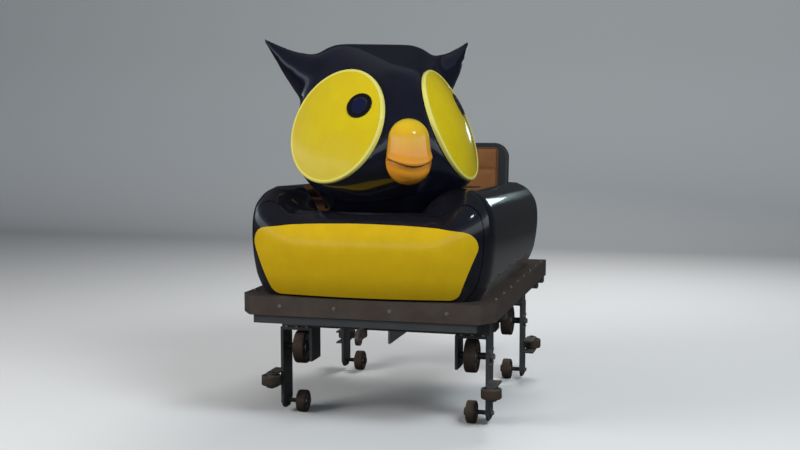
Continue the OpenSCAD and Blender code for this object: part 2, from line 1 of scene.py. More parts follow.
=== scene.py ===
# %% [markdown]
# # The lead car of a small roller coaster, with an owl's head
# The car was drawn and packed as exact solids first. This script loads them as a fixed
# frame and dresses them: smooth glass-fibre mouldings, a face, cushions, bolts and welds,
# and a material for every surface. Lengths are in metres, +X is forward and +Z is up.

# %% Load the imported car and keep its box
import math

import bmesh
import bpy
import numpy as np
from mathutils import Matrix, Vector, noise
from mathutils.bvhtree import BVHTree


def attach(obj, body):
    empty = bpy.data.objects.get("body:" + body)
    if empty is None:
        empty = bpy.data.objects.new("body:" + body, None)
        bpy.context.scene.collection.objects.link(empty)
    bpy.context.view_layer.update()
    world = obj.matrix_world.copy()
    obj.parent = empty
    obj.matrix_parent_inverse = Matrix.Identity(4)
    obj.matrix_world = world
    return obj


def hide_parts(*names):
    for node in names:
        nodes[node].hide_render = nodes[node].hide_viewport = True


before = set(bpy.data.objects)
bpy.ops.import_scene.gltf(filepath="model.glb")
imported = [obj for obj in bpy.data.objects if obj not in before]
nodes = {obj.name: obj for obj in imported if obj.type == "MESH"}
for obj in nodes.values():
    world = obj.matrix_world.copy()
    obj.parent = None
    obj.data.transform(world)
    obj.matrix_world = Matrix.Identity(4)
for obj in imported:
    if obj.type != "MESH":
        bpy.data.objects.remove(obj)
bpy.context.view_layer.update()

# %% [markdown]
# ## Helpers for finished pieces
# Each piece is modelled as a bmesh, the editable mesh of Blender's Python. When its shape is
# done it becomes an object, gets a material, and is told which moving body carries it.


# %% Turn a bmesh into an object, and into a piece that rides on a body
def linked(bm, name, materials=()):
    """A bmesh as a smooth-shaded object in the scene."""
    mesh = bpy.data.meshes.new(name)
    bm.to_mesh(mesh)
    bm.free()
    for material in materials:
        mesh.materials.append(material)
    mesh.polygons.foreach_set("use_smooth", [True] * len(mesh.polygons))
    made = bpy.data.objects.new(name, mesh)
    bpy.context.scene.collection.objects.link(made)
    return made


def finish_piece(bm, name, materials, body, stands_for=(), crease=None):
    """The piece; edges that turn by more than the crease, in degrees, are shaded sharp."""
    bmesh.ops.remove_doubles(bm, verts=bm.verts, dist=1e-6)
    piece = linked(bm, name, materials if isinstance(materials, list) else [materials])
    if crease:
        piece.data.set_sharp_from_angle(angle=math.radians(crease))
    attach(piece, body)
    if stands_for:
        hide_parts(*stands_for)
    return piece


# %% [markdown]
# ## Camera, stage and light
# The camera stands where the photographer stood, on the car's left front and a little above
# the rim, and looks straight at the car. The stage is a pale floor that curves up into a
# backdrop. Gloss looks like what it mirrors, so the sky and two small lights are set for it.

# %% Place the camera
CAMERA_PLACE = Vector((5.604, 1.433, 1.405))
CAMERA_AIM = Vector((0.13, -0.02, 0.83))
LENS = 55.0

camera_data = bpy.data.cameras.new("camera")
camera_data.lens = LENS
camera_data.dof.use_dof = False
camera = bpy.data.objects.new("camera", camera_data)
bpy.context.scene.collection.objects.link(camera)
camera.location = CAMERA_PLACE
camera.rotation_mode = "QUATERNION"
camera.rotation_quaternion = (CAMERA_AIM - CAMERA_PLACE).to_track_quat("-Z", "Y")
bpy.context.scene.camera = camera
bpy.context.scene.view_settings.view_transform = "Standard"
print("camera distance", round((CAMERA_AIM - CAMERA_PLACE).length, 2))


# %% Short ways to add shader nodes with their inputs
def fed(tree, made, inputs):
    """Sets a node's inputs; each is a plain value, or a socket to link from."""
    for key, value in (inputs or {}).items():
        if isinstance(value, bpy.types.NodeSocket):
            tree.links.new(value, made.inputs[key])
        else:
            made.inputs[key].default_value = value
    return made


def node(tree, kind, inputs=None, **settings):
    """Adds a ShaderNode with its settings and inputs."""
    made = tree.nodes.new("ShaderNode" + kind)
    for key, value in settings.items():
        setattr(made, key, value)
    return fed(tree, made, inputs)


def ramp(tree, value, low, high, to_low=0.0, to_high=1.0):
    """A value between low and high, mapped to another range and held inside it."""
    return node(tree, "MapRange", {"Value": value, "From Min": low, "From Max": high,
                                   "To Min": to_low, "To Max": to_high}).outputs["Result"]


def layered(tree, base, *layers):
    """Each layer is (mask, colour), laid over what is below it."""
    for mask, colour in layers:
        base = node(tree, "Mix", {0: mask, 6: base, 7: colour}, data_type="RGBA").outputs[2]
    return base


def surface(name, recipe):
    """A material: the recipe gets its node tree and gives the Principled shader's inputs."""
    material = bpy.data.materials.new(name)
    material.use_nodes = True
    tree = material.node_tree
    tree.nodes.clear()
    shader = node(tree, "BsdfPrincipled", recipe(tree))
    node(tree, "OutputMaterial", {"Surface": shader.outputs["BSDF"]})
    return material


# %% Floor and backdrop
FLOOR_PALE, FLOOR_IN_GLOSS = 0.72, 0.07  # what the camera sees, and what the gloss mirrors
STAGE_FRONT, STAGE_BACK, STAGE_SIDE, BACKDROP_R, BACKDROP_TOP = 9.0, -6.0, 14.0, 2.0, 9.0

stage_bm = bmesh.new()
first, last = [stage_bm.verts.new((x, -STAGE_SIDE, 0.0)) for x in (STAGE_FRONT, STAGE_BACK)]
stage_bm.edges.new((first, last))
bmesh.ops.spin(stage_bm, geom=[last], cent=(STAGE_BACK, -STAGE_SIDE, BACKDROP_R), axis=(0, 1, 0),
               angle=math.radians(90), steps=16, use_merge=False)
top = max(stage_bm.verts, key=lambda v: v.co.z)
bmesh.ops.extrude_vert_indiv(stage_bm, verts=[top])
stage_bm.verts.ensure_lookup_table()
stage_bm.verts[-1].co.z = BACKDROP_TOP
swept = bmesh.ops.extrude_edge_only(stage_bm, edges=stage_bm.edges[:])
for v in (g for g in swept["geom"] if isinstance(g, bmesh.types.BMVert)):
    v.co.y = STAGE_SIDE
stage_paint = surface("stage_pale", lambda tree: {"Roughness": 0.9, "Base Color": ramp(
    tree, node(tree, "LightPath").outputs["Is Camera Ray"], 0, 1, FLOOR_IN_GLOSS, FLOOR_PALE)})
stage_floor = linked(stage_bm, "stage_floor", [stage_paint])
print("stage faces", len(stage_floor.data.polygons))

# %% Soft lights and a sky for the gloss to mirror
LIGHTS_AIM = Vector((0, 0, 0.8))
LIGHTS = {  # name: (place, power in watts, width, height, colour, whether the gloss mirrors it)
    "key_over_left_front": ((3.4, 3.6, 4.6), 235.0, 2.6, 1.5, (0.88, 0.96, 1.0), False),
    "key_in_gloss": ((3.26, 3.46, 4.44), 26.0, 0.9, 0.5, (0.88, 0.96, 1.0), True),
    "fill_over_right_front": ((3.6, -4.2, 2.8), 190.0, 3.0, 1.8, (1.0, 0.98, 0.95), False),
    "rim_over_rear": ((-4.2, 0.8, 4.2), 170.0, 2.4, 1.4, (1.0, 1.0, 1.0), False),
    "glint_from_behind": ((-4.6, 1.12, 1.72), 1.5, 0.55, 0.30, (0.72, 0.97, 1.0), True),
}
for name, (place, power, width, height, colour, mirrored) in LIGHTS.items():
    light_data = bpy.data.lights.new(name, "AREA")
    light_data.energy = power
    light_data.color = colour
    light_data.shape = "RECTANGLE"
    light_data.size = width
    light_data.size_y = height
    light = bpy.data.objects.new(name, light_data)
    light.location = place
    light.rotation_mode = "QUATERNION"
    light.rotation_quaternion = (LIGHTS_AIM - Vector(place)).to_track_quat("-Z", "Y")
    light.visible_glossy = mirrored
    light.visible_camera = False
    bpy.context.scene.collection.objects.link(light)

# Dark below and overhead, as under a shed's roof, with a band of bright sky between them
SKY = [(0.0, (0.03, 0.03, 0.03, 1)), (0.503, (0.06, 0.06, 0.06, 1)), (0.525, (0.62, 0.72, 0.80, 1)),
       (0.60, (0.90, 0.98, 1.0, 1)), (0.635, (0.22, 0.26, 0.31, 1)), (0.74, (0.085, 0.095, 0.115, 1)),
       (1.0, (0.07, 0.07, 0.075, 1))]
WORLD_STRENGTH = 1.1
BEYOND_STAGE = (0.132, 0.137, 0.143, 1)  # what the camera sees past the backdrop
world = bpy.data.worlds.new("pale_sky")
bpy.context.scene.world = world
world.use_nodes = True
tree = world.node_tree
climb = node(tree, "SeparateXYZ", {0: node(tree, "NewGeometry").outputs["Incoming"]}).outputs["Z"]
sky = node(tree, "ValToRGB", {"Fac": ramp(tree, climb, 1.0, -1.0)})
for place, colour in SKY[1:-1]:
    sky.color_ramp.elements.new(place)
for stop, (place, colour) in zip(sky.color_ramp.elements, SKY):
    stop.position, stop.color = place, colour
seen = node(tree, "LightPath").outputs["Is Camera Ray"]
fed(tree, tree.nodes["Background"], {"Strength": WORLD_STRENGTH, "Color": layered(
    tree, sky.outputs["Color"], (seen, BEYOND_STAGE))})
print("lights", len(LIGHTS))

# %% [markdown]
# ## Effects that several finishes share
# A finish is never one flat colour. These node groups give each material its small-scale
# detail: worn edges, settled dust, the soft ripple of hand-laid gelcoat, a fine grain, and
# the pebbled grain of vinyl. Each puts out a mask or a height, and the material decides
# how strongly to use it.


# %% Start a shader node group with named sockets
def new_group(name, inputs, outputs):
    group = bpy.data.node_groups.new(name, "ShaderNodeTree")
    for label, value in inputs.items():
        socket = group.interface.new_socket(label, in_out="INPUT", socket_type="NodeSocketFloat")
        socket.default_value = value
    for label in outputs:
        group.interface.new_socket(label, in_out="OUTPUT", socket_type="NodeSocketFloat")
    entry = group.nodes.new("NodeGroupInput")
    exit_node = group.nodes.new("NodeGroupOutput")
    return group, entry.outputs, exit_node.inputs


def use_group(tree, group, inputs=None):
    made = tree.nodes.new("ShaderNodeGroup")
    made.node_tree = group
    return fed(tree, made, inputs).outputs


def object_coords(tree):
    return node(tree, "TexCoord").outputs["Object"]


def math_node(tree, operation, a, b=0.0, clamp=False):
    return node(tree, "Math", {0: a, 1: b}, operation=operation, use_clamp=clamp).outputs[0]


def times(tree, a, b, clamp=False):
    return math_node(tree, "MULTIPLY", a, b, clamp)


def vectors(tree, operation, a, b):
    return node(tree, "VectorMath", {0: a, 1: b}, operation=operation).outputs


def noisy(tree, scale, detail, rough=0.5, at=None):
    """Noise over the object's own coordinates, or at others."""
    return node(tree, "TexNoise", {"Vector": object_coords(tree) if at is None else at, "Scale": scale,
                                   "Detail": detail, "Roughness": rough}).outputs


# %% Edge wear: where a bevelled normal differs from the true one
edge_wear, into, out = new_group("edge_wear", {"Radius": 0.004, "Amount": 0.6}, ["Mask"])
soft = node(edge_wear, "Bevel", {"Radius": into["Radius"]}, samples=4).outputs[0]
true = node(edge_wear, "NewGeometry").outputs["Normal"]
edge = ramp(edge_wear, vectors(edge_wear, "DOT_PRODUCT", soft, true)["Value"], 0.985, 0.86)
broken = ramp(edge_wear, noisy(edge_wear, 38.0, 5.0, 0.65)["Fac"], 0.42, 0.62)
worn = times(edge_wear, edge, broken)
edge_wear.links.new(times(edge_wear, worn, into["Amount"], clamp=True), out["Mask"])
print("group", edge_wear.name)

# %% Dust: settles on faces that look up, in soft patches
dust, into, out = new_group("settled_dust", {"Amount": 0.3, "Scale": 7.0}, ["Mask"])
up = node(dust, "SeparateXYZ", {0: node(dust, "NewGeometry").outputs["Normal"]}).outputs["Z"]
patch = ramp(dust, noisy(dust, into["Scale"], 7.0, 0.7)["Fac"], 0.35, 0.75)
lying = times(dust, ramp(dust, up, 0.1, 1.0), patch)
dust.links.new(times(dust, lying, into["Amount"], clamp=True), out["Mask"])
print("group", dust.name)

# %% Gelcoat ripple: long soft waves and a little orange peel
ripple, into, out = new_group("gelcoat_ripple", {"Waves": 1.0, "Peel": 1.0}, ["Height"])
long_part = times(ripple, noisy(ripple, 9.0, 1.0)["Fac"], into["Waves"])
fine_part = times(ripple, times(ripple, noisy(ripple, 240.0, 2.0)["Fac"], 0.02), into["Peel"])
ripple.links.new(math_node(ripple, "ADD", long_part, fine_part), out["Height"])
print("group", ripple.name)

# %% Fine grain: even speckle, with slower blotches for colour
grain, into, out = new_group("fine_grain", {"Scale": 400.0, "Stretch": 1.0}, ["Height", "Blotch"])
squeeze = node(grain, "CombineXYZ", {"X": into["Stretch"], "Y": 1.0, "Z": 1.0}).outputs[0]
drawn = vectors(grain, "MULTIPLY", object_coords(grain), squeeze)[0]
grain.links.new(noisy(grain, into["Scale"], 4.0, 0.6, drawn)["Fac"], out["Height"])
grain.links.new(noisy(grain, 11.0, 6.0, 0.62)["Fac"], out["Blotch"])
print("group", grain.name)

# %% Vinyl grain: small rounded pebbles between fine creases
pebble, into, out = new_group("vinyl_pebble", {"Scale": 260.0}, ["Height"])
bent = vectors(pebble, "MULTIPLY", noisy(pebble, 90.0, 2.0)["Color"], (0.006, 0.006, 0.006))[0]
cells = node(pebble, "TexVoronoi", {"Vector": vectors(pebble, "ADD", object_coords(pebble), bent)[0],
                                    "Scale": into["Scale"]}, feature="DISTANCE_TO_EDGE")
pebble.links.new(ramp(pebble, cells.outputs["Distance"], 0.0, 0.22), out["Height"])
print("group", pebble.name)

# %% [markdown]
# ## The finishes
# The mouldings are glass fibre with a thick glossy gelcoat, so they get a clear coat over
# the colour. Steel is brushed and stained, paint is chipped on its edges, and the wheels'
# polyurethane is scuffed where it runs.


# %% Short ways to write a recipe
DUST_TAN = (0.36, 0.31, 0.25, 1.0)


def span(tree, value, low, high):
    """A value from 0 to 1 stretched to lie between low and high."""
    return ramp(tree, value, 0.0, 1.0, low, high)


def bump(tree, height, distance, strength):
    return node(tree, "Bump", {"Height": height, "Distance": distance,
                               "Strength": strength}).outputs["Normal"]


def dusty_layer(tree, amount, scale=7.0):
    return use_group(tree, dust, {"Amount": amount, "Scale": scale})["Mask"], DUST_TAN


def rippled(tree, distance):
    return bump(tree, use_group(tree, ripple)["Height"], distance, 0.5)


# %% Glossy gelcoat, in any colour
def gelcoat(name, colour, shade, dusty, rough=0.16, coat=1.0, coat_rough=0.03):
    """Glass-fibre gelcoat: colour, a darker or lighter cloud of it, dust and a clear coat."""
    def recipe(tree):
        cloud = use_group(tree, grain, {"Scale": 60.0})["Blotch"]
        lying = dusty_layer(tree, dusty)
        rub = math_node(tree, "ADD", span(tree, cloud, rough * 0.7, rough * 1.4),
                        times(tree, lying[0], 0.5))
        tint = layered(tree, colour, (span(tree, cloud, -0.4, 1.2), shade), lying)
        return {"Base Color": tint, "Roughness": rub, "IOR": 1.5, "Specular IOR Level": 0.22,
                "Coat Weight": coat, "Coat Roughness": coat_rough, "Normal": rippled(tree, 0.0022)}
    return surface("gelcoat_" + name, recipe)


# The black is tinted faintly blue, and the head's clouds navy: a painted navy sheen on the black gelcoat.
BLACK_GEL_BLUE_SHEEN = gelcoat("black", (0.0045, 0.0045, 0.0075, 1), (0.009, 0.009, 0.014, 1), 0.022)
HEAD_GEL_NAVY_SHEEN = gelcoat("head", (0.0045, 0.0045, 0.0085, 1), (0.007, 0.008, 0.022, 1), 0.012)
BELLY_GEL = gelcoat("belly", (0.66, 0.42, 0.006, 1), (0.56, 0.34, 0.004, 1), 0.05, 0.30, 0.45, 0.12)
EYE_GEL = gelcoat("eye", (0.66, 0.51, 0.009, 1), (0.60, 0.42, 0.006, 1), 0.02, 0.16, 0.7, 0.05)
EYE_RIM_GEL = gelcoat("eye_rim", (0.76, 0.68, 0.17, 1), (0.70, 0.62, 0.12, 1), 0.03)
PUPIL_RING_GEL = gelcoat("pupil_ring", (0.003, 0.003, 0.004, 1), (0.005, 0.005, 0.006, 1), 0.0)
PUPIL_NAVY_GEL = gelcoat("pupil_navy", (0.006, 0.009, 0.045, 1), (0.004, 0.005, 0.022, 1), 0.0)
print("gelcoats", 7)

# %% [markdown]
# ## The body's smooth skin
# The real tub is a fat glass-fibre shell with a rolled rim. Its low front dips in the middle
# and sweeps up to two shoulders. One closed ring of points runs round the widest outline,
# and every other ring is that one moved inwards and up. Bridging ring to ring gives a clean
# skin of four-sided faces, which a sculpted or boolean shape would not.

# %% The body's measures, as in the solids
BODY_Z, BODY_FRONT, BODY_REAR, BODY_Y = 0.585, 0.870, 0.640, 0.535
FRONT_R, REAR_R, CROWN, WALL = 0.170, 0.150, 0.035, 0.012
SHOULDER_H, DIP_H, REAR_H = 0.455, 0.360, 0.410
OPENING_R, OPENING_FRONT, OPENING_REAR = 0.395, 0.770, -0.530
NOSE_SEAM, REAR_SEAM, DECK_Z, DECK_REAR = 0.760, -0.500, 0.940, 0.120
LOW_ROWS = [(0.0, 0.060), (0.060, 0.032), (0.140, 0.009), (0.220, 0.0)]  # height, inset
RIM_ROWS = [(0.130, 0.0), (0.085, 0.014), (0.048, 0.038), (0.020, 0.070), (0.0, 0.110)]
CORNER_X, CORNER_Y = BODY_FRONT - FRONT_R - CROWN, BODY_Y - FRONT_R
REAR_X, REAR_Y = -BODY_REAR + REAR_R, BODY_Y - REAR_R
OPENING_X = OPENING_FRONT - OPENING_R
RISE_FROM, RISE_L, ARC_R = CORNER_Y - 0.040, 0.100, 0.044
OPENING_CORNER, UNDER_DECK = 0.04, 0.006
FRONT_N, ARC_N, SIDE_N, REAR_N = 30, 22, 64, 25  # points on each stretch of half the outline


# %% Half of the outline, from the middle of the front to the middle of the rear
def half_outline():
    """Points (x, y, rim height above the skirt, x and y of the opening's edge)."""
    points = []

    def front_rim(path):
        share = min(1.0, max(0.0, (path - RISE_FROM) / RISE_L))
        return DIP_H + (SHOULDER_H - DIP_H) * (1 - math.cos(math.pi * share)) / 2

    def side_rim(x):
        share = max(0.0, (x - REAR_X) / (CORNER_X - REAR_X))
        return REAR_H + (SHOULDER_H - REAR_H) * share

    def opening_ahead(x, y):
        away = Vector((x - OPENING_X, y)).normalized() * OPENING_R
        return (OPENING_X + away.x, away.y)

    for i in range(FRONT_N):
        y = CORNER_Y * i / FRONT_N
        x = BODY_FRONT - CROWN * (y / CORNER_Y) ** 2
        points.append((x, y, front_rim(y), *opening_ahead(x, y)))
    for i in range(ARC_N):
        a = math.radians(90) * i / (ARC_N - 1)
        x, y = CORNER_X + FRONT_R * math.cos(a), CORNER_Y + FRONT_R * math.sin(a)
        points.append((x, y, front_rim(CORNER_Y + ARC_R * a), *opening_ahead(x, y)))
    for i in range(1, SIDE_N):
        x = CORNER_X + (REAR_X - CORNER_X) * i / SIDE_N
        edge = opening_ahead(x, BODY_Y) if x > OPENING_X else (x, OPENING_R)
        points.append((x, BODY_Y, side_rim(x), *edge))
    for i in range(ARC_N):
        a = math.radians(90) * (1 + i / (ARC_N - 1))
        x, y = REAR_X + REAR_R * math.cos(a), REAR_Y + REAR_R * math.sin(a)
        edge = (OPENING_REAR + OPENING_CORNER + OPENING_CORNER * math.cos(a),
                OPENING_R - OPENING_CORNER + OPENING_CORNER * math.sin(a))
        points.append((x, y, REAR_H, *edge))
    for i in range(1, REAR_N + 1):
        y = REAR_Y * (1 - i / REAR_N)
        points.append((-BODY_REAR, y, REAR_H, OPENING_REAR, min(y, OPENING_R - OPENING_CORNER)))
    return points


half = half_outline()
outline = np.array(half + [(p[0], -p[1], p[2], p[3], -p[4]) for p in half[-2:0:-1]])
for _ in range(3):  # soften the joins of straight and arc
    outline = outline * 0.5 + (np.roll(outline, 1, 0) + np.roll(outline, -1, 0)) * 0.25
along = np.roll(outline[:, :2], -1, 0) - np.roll(outline[:, :2], 1, 0)
outward = np.stack([along[:, 1], -along[:, 0]], 1)
outward /= np.linalg.norm(outward, axis=1)[:, None]
print("points round the body", len(outline))


# %% The profile from foot to rim, and the rings that it gives
def through(rows, count):
    """A smooth curve through a table's rows, by Catmull and Rom's rule."""
    rows = np.array(rows)
    ends = np.vstack([2 * rows[0] - rows[1], rows, 2 * rows[-1] - rows[-2]])
    found = []
    for t in np.linspace(0, len(rows) - 1, count):
        i = min(int(t), len(rows) - 2)
        u = t - i
        a, b, c, d = ends[i:i + 4]
        found.append(0.5 * (2 * b + (c - a) * u + (2 * a - 5 * b + 4 * c - d) * u * u
                            + (3 * b - a - 3 * c + d) * u ** 3))
    return np.array(found)


LIP_R, LIP_DROP_REAR, LIP_SPACE = 0.006, 0.030, 0.002
EASE, EASED_RINGS = 16, slice(5, 24)  # how often, and which rings round the bulge
low_curve = through(LOW_ROWS, 12)
rim_curve = through(RIM_ROWS, 18)
room = np.linalg.norm(outline[:, :2] - outline[:, 3:5], axis=1) - LIP_R - LIP_SPACE
edge_in = outline[:, 3:5] - outline[:, :2]
edge_in /= np.linalg.norm(edge_in, axis=1)[:, None]


def body_rings():
    """Each ring is an array of points, from the foot, over the rim, down inside the opening."""
    top = BODY_Z + outline[:, 2]
    level = np.ones(len(outline))
    rings = [np.column_stack([outline[:, :2] - outward * inset, level * (BODY_Z + height)])
             for height, inset in low_curve]
    for inset in rim_curve[:, 1]:
        cut = np.minimum(inset, room)
        drop = np.maximum(np.interp(cut, rim_curve[:, 1], rim_curve[:, 0]), 0.0)
        rings.append(np.column_stack([outline[:, :2] - outward * cut[:, None], top - drop]))
    near = np.array(rings[EASED_RINGS])  # the two curves meet here
    for _ in range(EASE):
        near[1:-1] = near[1:-1] * 0.5 + (near[:-2] + near[2:]) * 0.25
    rings[EASED_RINGS] = list(near)
    last = rings[-1]
    lip = outline[:, 3:5] - edge_in * LIP_R
    for share in (0.33, 0.67, 1.0):
        plan = last[:, :2] * (1 - share) + lip * share
        rings.append(np.column_stack([plan, last[:, 2] * (1 - share) + top * share]))
    for a in np.radians([30, 60, 90]):
        plan = lip + edge_in * LIP_R * math.sin(a)
        rings.append(np.column_stack([plan, top - LIP_R * (1 - math.cos(a))]))
    inside = np.where(outline[:, 3] > DECK_REAR - 0.01, DECK_Z - UNDER_DECK, top - LIP_DROP_REAR)
    for share in (0.5, 1.0):
        height = (top - LIP_R) * (1 - share) + inside * share
        rings.append(np.column_stack([outline[:, 3:5], height]))
    return rings


rings = body_rings()
print("rings", len(rings), "of", len(rings[0]))

# %% Bridge the rings into one skin
def edges_of(verts):
    return list({e for v in verts for e in v.link_edges})


def ring_of(bm, places):
    """The edges of a closed ring through the places."""
    circle = bmesh.ops.create_circle(bm, segments=len(places), radius=1.0)["verts"]
    for v, place in zip(circle, places):
        v.co = place
    return edges_of(circle)


def bridged(bm, loops, around=False):
    """Bridges each loop of edges to the next, and gives the faces of each strip."""
    following = loops[1:] + (loops[:1] if around else [])
    return [bmesh.ops.bridge_loops(bm, edges=a + b)["faces"] for a, b in zip(loops, following)]


def faced(bm, way=None):
    """Makes the faces agree; an open skin is turned to look along a way."""
    bmesh.ops.recalc_face_normals(bm, faces=bm.faces)
    if way and sum(f.normal.dot(way) for f in bm.faces) < 0:
        bmesh.ops.reverse_faces(bm, faces=bm.faces)


skin = bmesh.new()
bridged(skin, [ring_of(skin, ring) for ring in rings])
faced(skin)
on_left_side = Vector((0, BODY_Y, 0.8))
side_face = min(skin.faces, key=lambda f: (f.calc_center_median() - on_left_side).length)
if side_face.normal.y < 0:
    bmesh.ops.reverse_faces(skin, faces=skin.faces)
skin_tree = BVHTree.FromBMesh(skin)
print("skin faces", len(skin.faces))

# %% Cut the skin at the seams and give each moulding its wall
def bevelled(piece, width, segments, angle):
    """Rounds the edges of a piece with a live Bevel modifier."""
    modifier = piece.modifiers.new("rounded_edges", "BEVEL")
    modifier.width = width
    modifier.segments = segments
    modifier.limit_method = "ANGLE"
    modifier.angle_limit = math.radians(angle)
    modifier.harden_normals = True


def walled(piece, thickness, even=False):
    """Gives an open skin a wall inwards with a live Solidify modifier."""
    modifier = piece.modifiers.new("wall", "SOLIDIFY")
    modifier.thickness = thickness
    modifier.offset = -1.0
    modifier.use_even_offset = modifier.use_quality_normals = even


def cut_away(bm, place, normal):
    """Cuts away what lies beyond a plane."""
    bmesh.ops.bisect_plane(bm, geom=bm.verts[:] + bm.edges[:] + bm.faces[:], dist=1e-6,
                           plane_co=place, plane_no=normal, clear_outer=True)


SEAM, EDGE_R, SKIN_WALL = 0.0016, 0.0022, WALL * 0.75  # SEAM is half of the gap
past_nose, before_nose = [((NOSE_SEAM + way * SEAM, 0, 0), (-way, 0, 0)) for way in (1, -1)]
before_rear, past_rear = [((REAR_SEAM + way * SEAM, 0, 0), (-way, 0, 0)) for way in (1, -1)]
MOULDINGS = {  # name: (planes with what lies beyond them cut away, the solid that it stands for)
    "nose_moulding": ([past_nose], "nose_shell"),
    "rear_moulding": ([past_rear], "rear_shell"),
    "side_moulding_left": ([before_nose, before_rear, ((0, 0, 0), (0, -1, 0))], "side_shell_left"),
    "side_moulding_right": ([before_nose, before_rear, ((0, 0, 0), (0, 1, 0))], "side_shell_right"),
}
for name, (planes, solid) in MOULDINGS.items():
    bm = skin.copy()
    for place, normal in planes:
        cut_away(bm, place, normal)
    piece = finish_piece(bm, name, BLACK_GEL_BLUE_SHEEN, "car", [solid])
    walled(piece, SKIN_WALL, even=True)
    bevelled(piece, EDGE_R, 2, 50)
print("mouldings", len(MOULDINGS))

# %% [markdown]
# ## The belly panel
# The yellow belly is a separate thin moulding that lies on the nose. A disc of rings is
# shaped to its outline, dropped onto the skin along the car's axis, and lifted along the
# skin's own normals, so that it fits the curved nose everywhere.

# %% The panel's outline, seen from in front
BELLY_CORNERS = [(0.416, 0.232, 0.062), (0.362, 0.062, 0.050)]  # half width, height, radius
BELLY_TOP_R, BELLY_TOP_H, BELLY_T, BELLY_EDGE_R = 0.035, 0.280, 0.008, 0.005
BELLY_MIDDLE = np.array([0.0, 0.165])
BELLY_RINGS = (1.0, 0.985, 0.96, 0.92, 0.86, 0.78, 0.68, 0.56, 0.43, 0.29, 0.14)


def belly_outline(count):
    """Points (y, height above the skirt) round the outline, evenly spaced."""
    circles = [(sign * y, h, r) for y, h, r in BELLY_CORNERS for sign in (1, -1)]
    end_y, end_h, end_r = BELLY_CORNERS[0]
    sag = BELLY_TOP_H + BELLY_TOP_R - end_h - end_r
    for y in np.linspace(-0.94, 0.94, 15) * end_y:  # the top edge arches from corner to corner
        circles.append((y, BELLY_TOP_H - sag * (y / end_y) ** 2, BELLY_TOP_R))
    reach = []
    for a in np.radians(np.arange(0, 360, 1.0)):
        far = max(circles, key=lambda c: c[0] * math.cos(a) + c[1] * math.sin(a) + c[2])
        reach.append((far[0] + far[2] * math.cos(a), far[1] + far[2] * math.sin(a)))
    reach = np.array(reach + reach[:1])
    length = np.concatenate([[0], np.cumsum(np.linalg.norm(np.diff(reach, axis=0), axis=1))])
    spots = np.linspace(0, length[-1], count, endpoint=False)
    return np.column_stack([np.interp(spots, length, reach[:, i]) for i in (0, 1)])


def dropped(y, z, lift):
    """The place over the skin's front at (y, z), lifted along the skin's normal."""
    place, normal, _, _ = skin_tree.ray_cast(Vector((1.5, y, z)), Vector((-1, 0, 0)))
    if normal.x < 0:
        normal = -normal
    return place + normal * lift


belly_edge = belly_outline(160)
belly = bmesh.new()
loops = []
for share in BELLY_RINGS:
    spots = BELLY_MIDDLE + (belly_edge - BELLY_MIDDLE) * share
    loops.append(ring_of(belly, [dropped(y, BODY_Z + h, BELLY_T) for y, h in spots]))
bridged(belly, loops)
bmesh.ops.contextual_create(belly, geom=loops[-1])
faced(belly, Vector((1, 0, 0)))
belly_panel = finish_piece(belly, "belly_moulding", BELLY_GEL, "car",
                           ["belly_panel"])
walled(belly_panel, BELLY_T)
bevelled(belly_panel, BELLY_EDGE_R, 4, 50)
print("belly faces", len(belly_panel.data.polygons))

# %% [markdown]
# ## The owl's head
# The head is one glass-fibre moulding, so its forehead, cheeks and horns flow into each
# other. Round lumps are wrapped in a convex hull, the horns are tapering hulls, and a voxel
# remesh joins them. Smoothing then softens the joins, but not the flat seats of the eyes.

# %% The head's axes and its measures, as in the solids
HEAD_X, HEAD_TURN, EYE_Z = 0.490, 31.0, 1.300
EYE_REACH, EYE_SPLAY, EYE_TILT = 0.300, 54.0, 22.0
EYE_W, EYE_TALL, EYE_EDGE, EYE_DOME = 0.239, 0.252, 0.010, 0.042
BEAK_SEAT, BEAK_DROP, BEAK_PAD_R, NECK_R, SEAT_BORDER = 0.389, 0.094, 0.096, 0.230, 0.004
LUMPS = [(-0.130, 0.140, 0.190, 0.165), (-0.110, 0.130, -0.020, 0.225),
         (0.060, 0.100, -0.110, 0.165), (0.135, 0.0, 0.090, 0.160)]
HORN = [(-0.130, 0.140, 0.190, 0.160), (-0.140, 0.240, 0.190, 0.120), (-0.165, 0.335, 0.245, 0.070),
        (-0.200, 0.405, 0.305, 0.034), (-0.240, 0.468, 0.368, 0.006)]
on_head = Matrix.Translation((HEAD_X, 0, 0)) @ Matrix.Rotation(math.radians(HEAD_TURN), 4, "Z")


def on_eye(side):
    """From an eye's own axes, with +Z out of the eye, to the car's."""
    return (on_head @ Matrix.Rotation(math.radians(side * EYE_SPLAY), 4, "Z")
            @ Matrix.Translation((EYE_REACH, 0, EYE_Z))
            @ Matrix.Rotation(math.radians(90 - EYE_TILT), 4, "Y"))


print("left eye looks along", [round(x, 2) for x in on_eye(1).to_3x3().col[2]])


# %% Wrap lumps in hulls
def add_to(whole, part):
    """Moves one bmesh's geometry into another, by way of a mesh."""
    mesh = bpy.data.meshes.new("part")
    part.to_mesh(mesh)
    part.free()
    whole.from_mesh(mesh)
    bpy.data.meshes.remove(mesh)


def hull_of(lumps, discs=()):
    """A convex hull of spheres (centre, radius) and flat discs (matrix, x and y radius)."""
    bm = bmesh.new()
    for centre, radius in lumps:
        bmesh.ops.create_icosphere(bm, subdivisions=4, radius=radius,
                                   matrix=Matrix.Translation(centre))
    for matrix, rx, ry in discs:
        bmesh.ops.create_circle(bm, segments=96, radius=1.0,
                                matrix=matrix @ Matrix.Diagonal((rx, ry, 1, 1)))
    bmesh.ops.delete(bm, geom=bm.edges[:] + bm.faces[:], context="EDGES_FACES")
    bmesh.ops.convex_hull(bm, input=bm.verts[:], use_existing_faces=False)
    bmesh.ops.delete(bm, geom=[v for v in bm.verts if not v.link_faces], context="VERTS")
    return bm


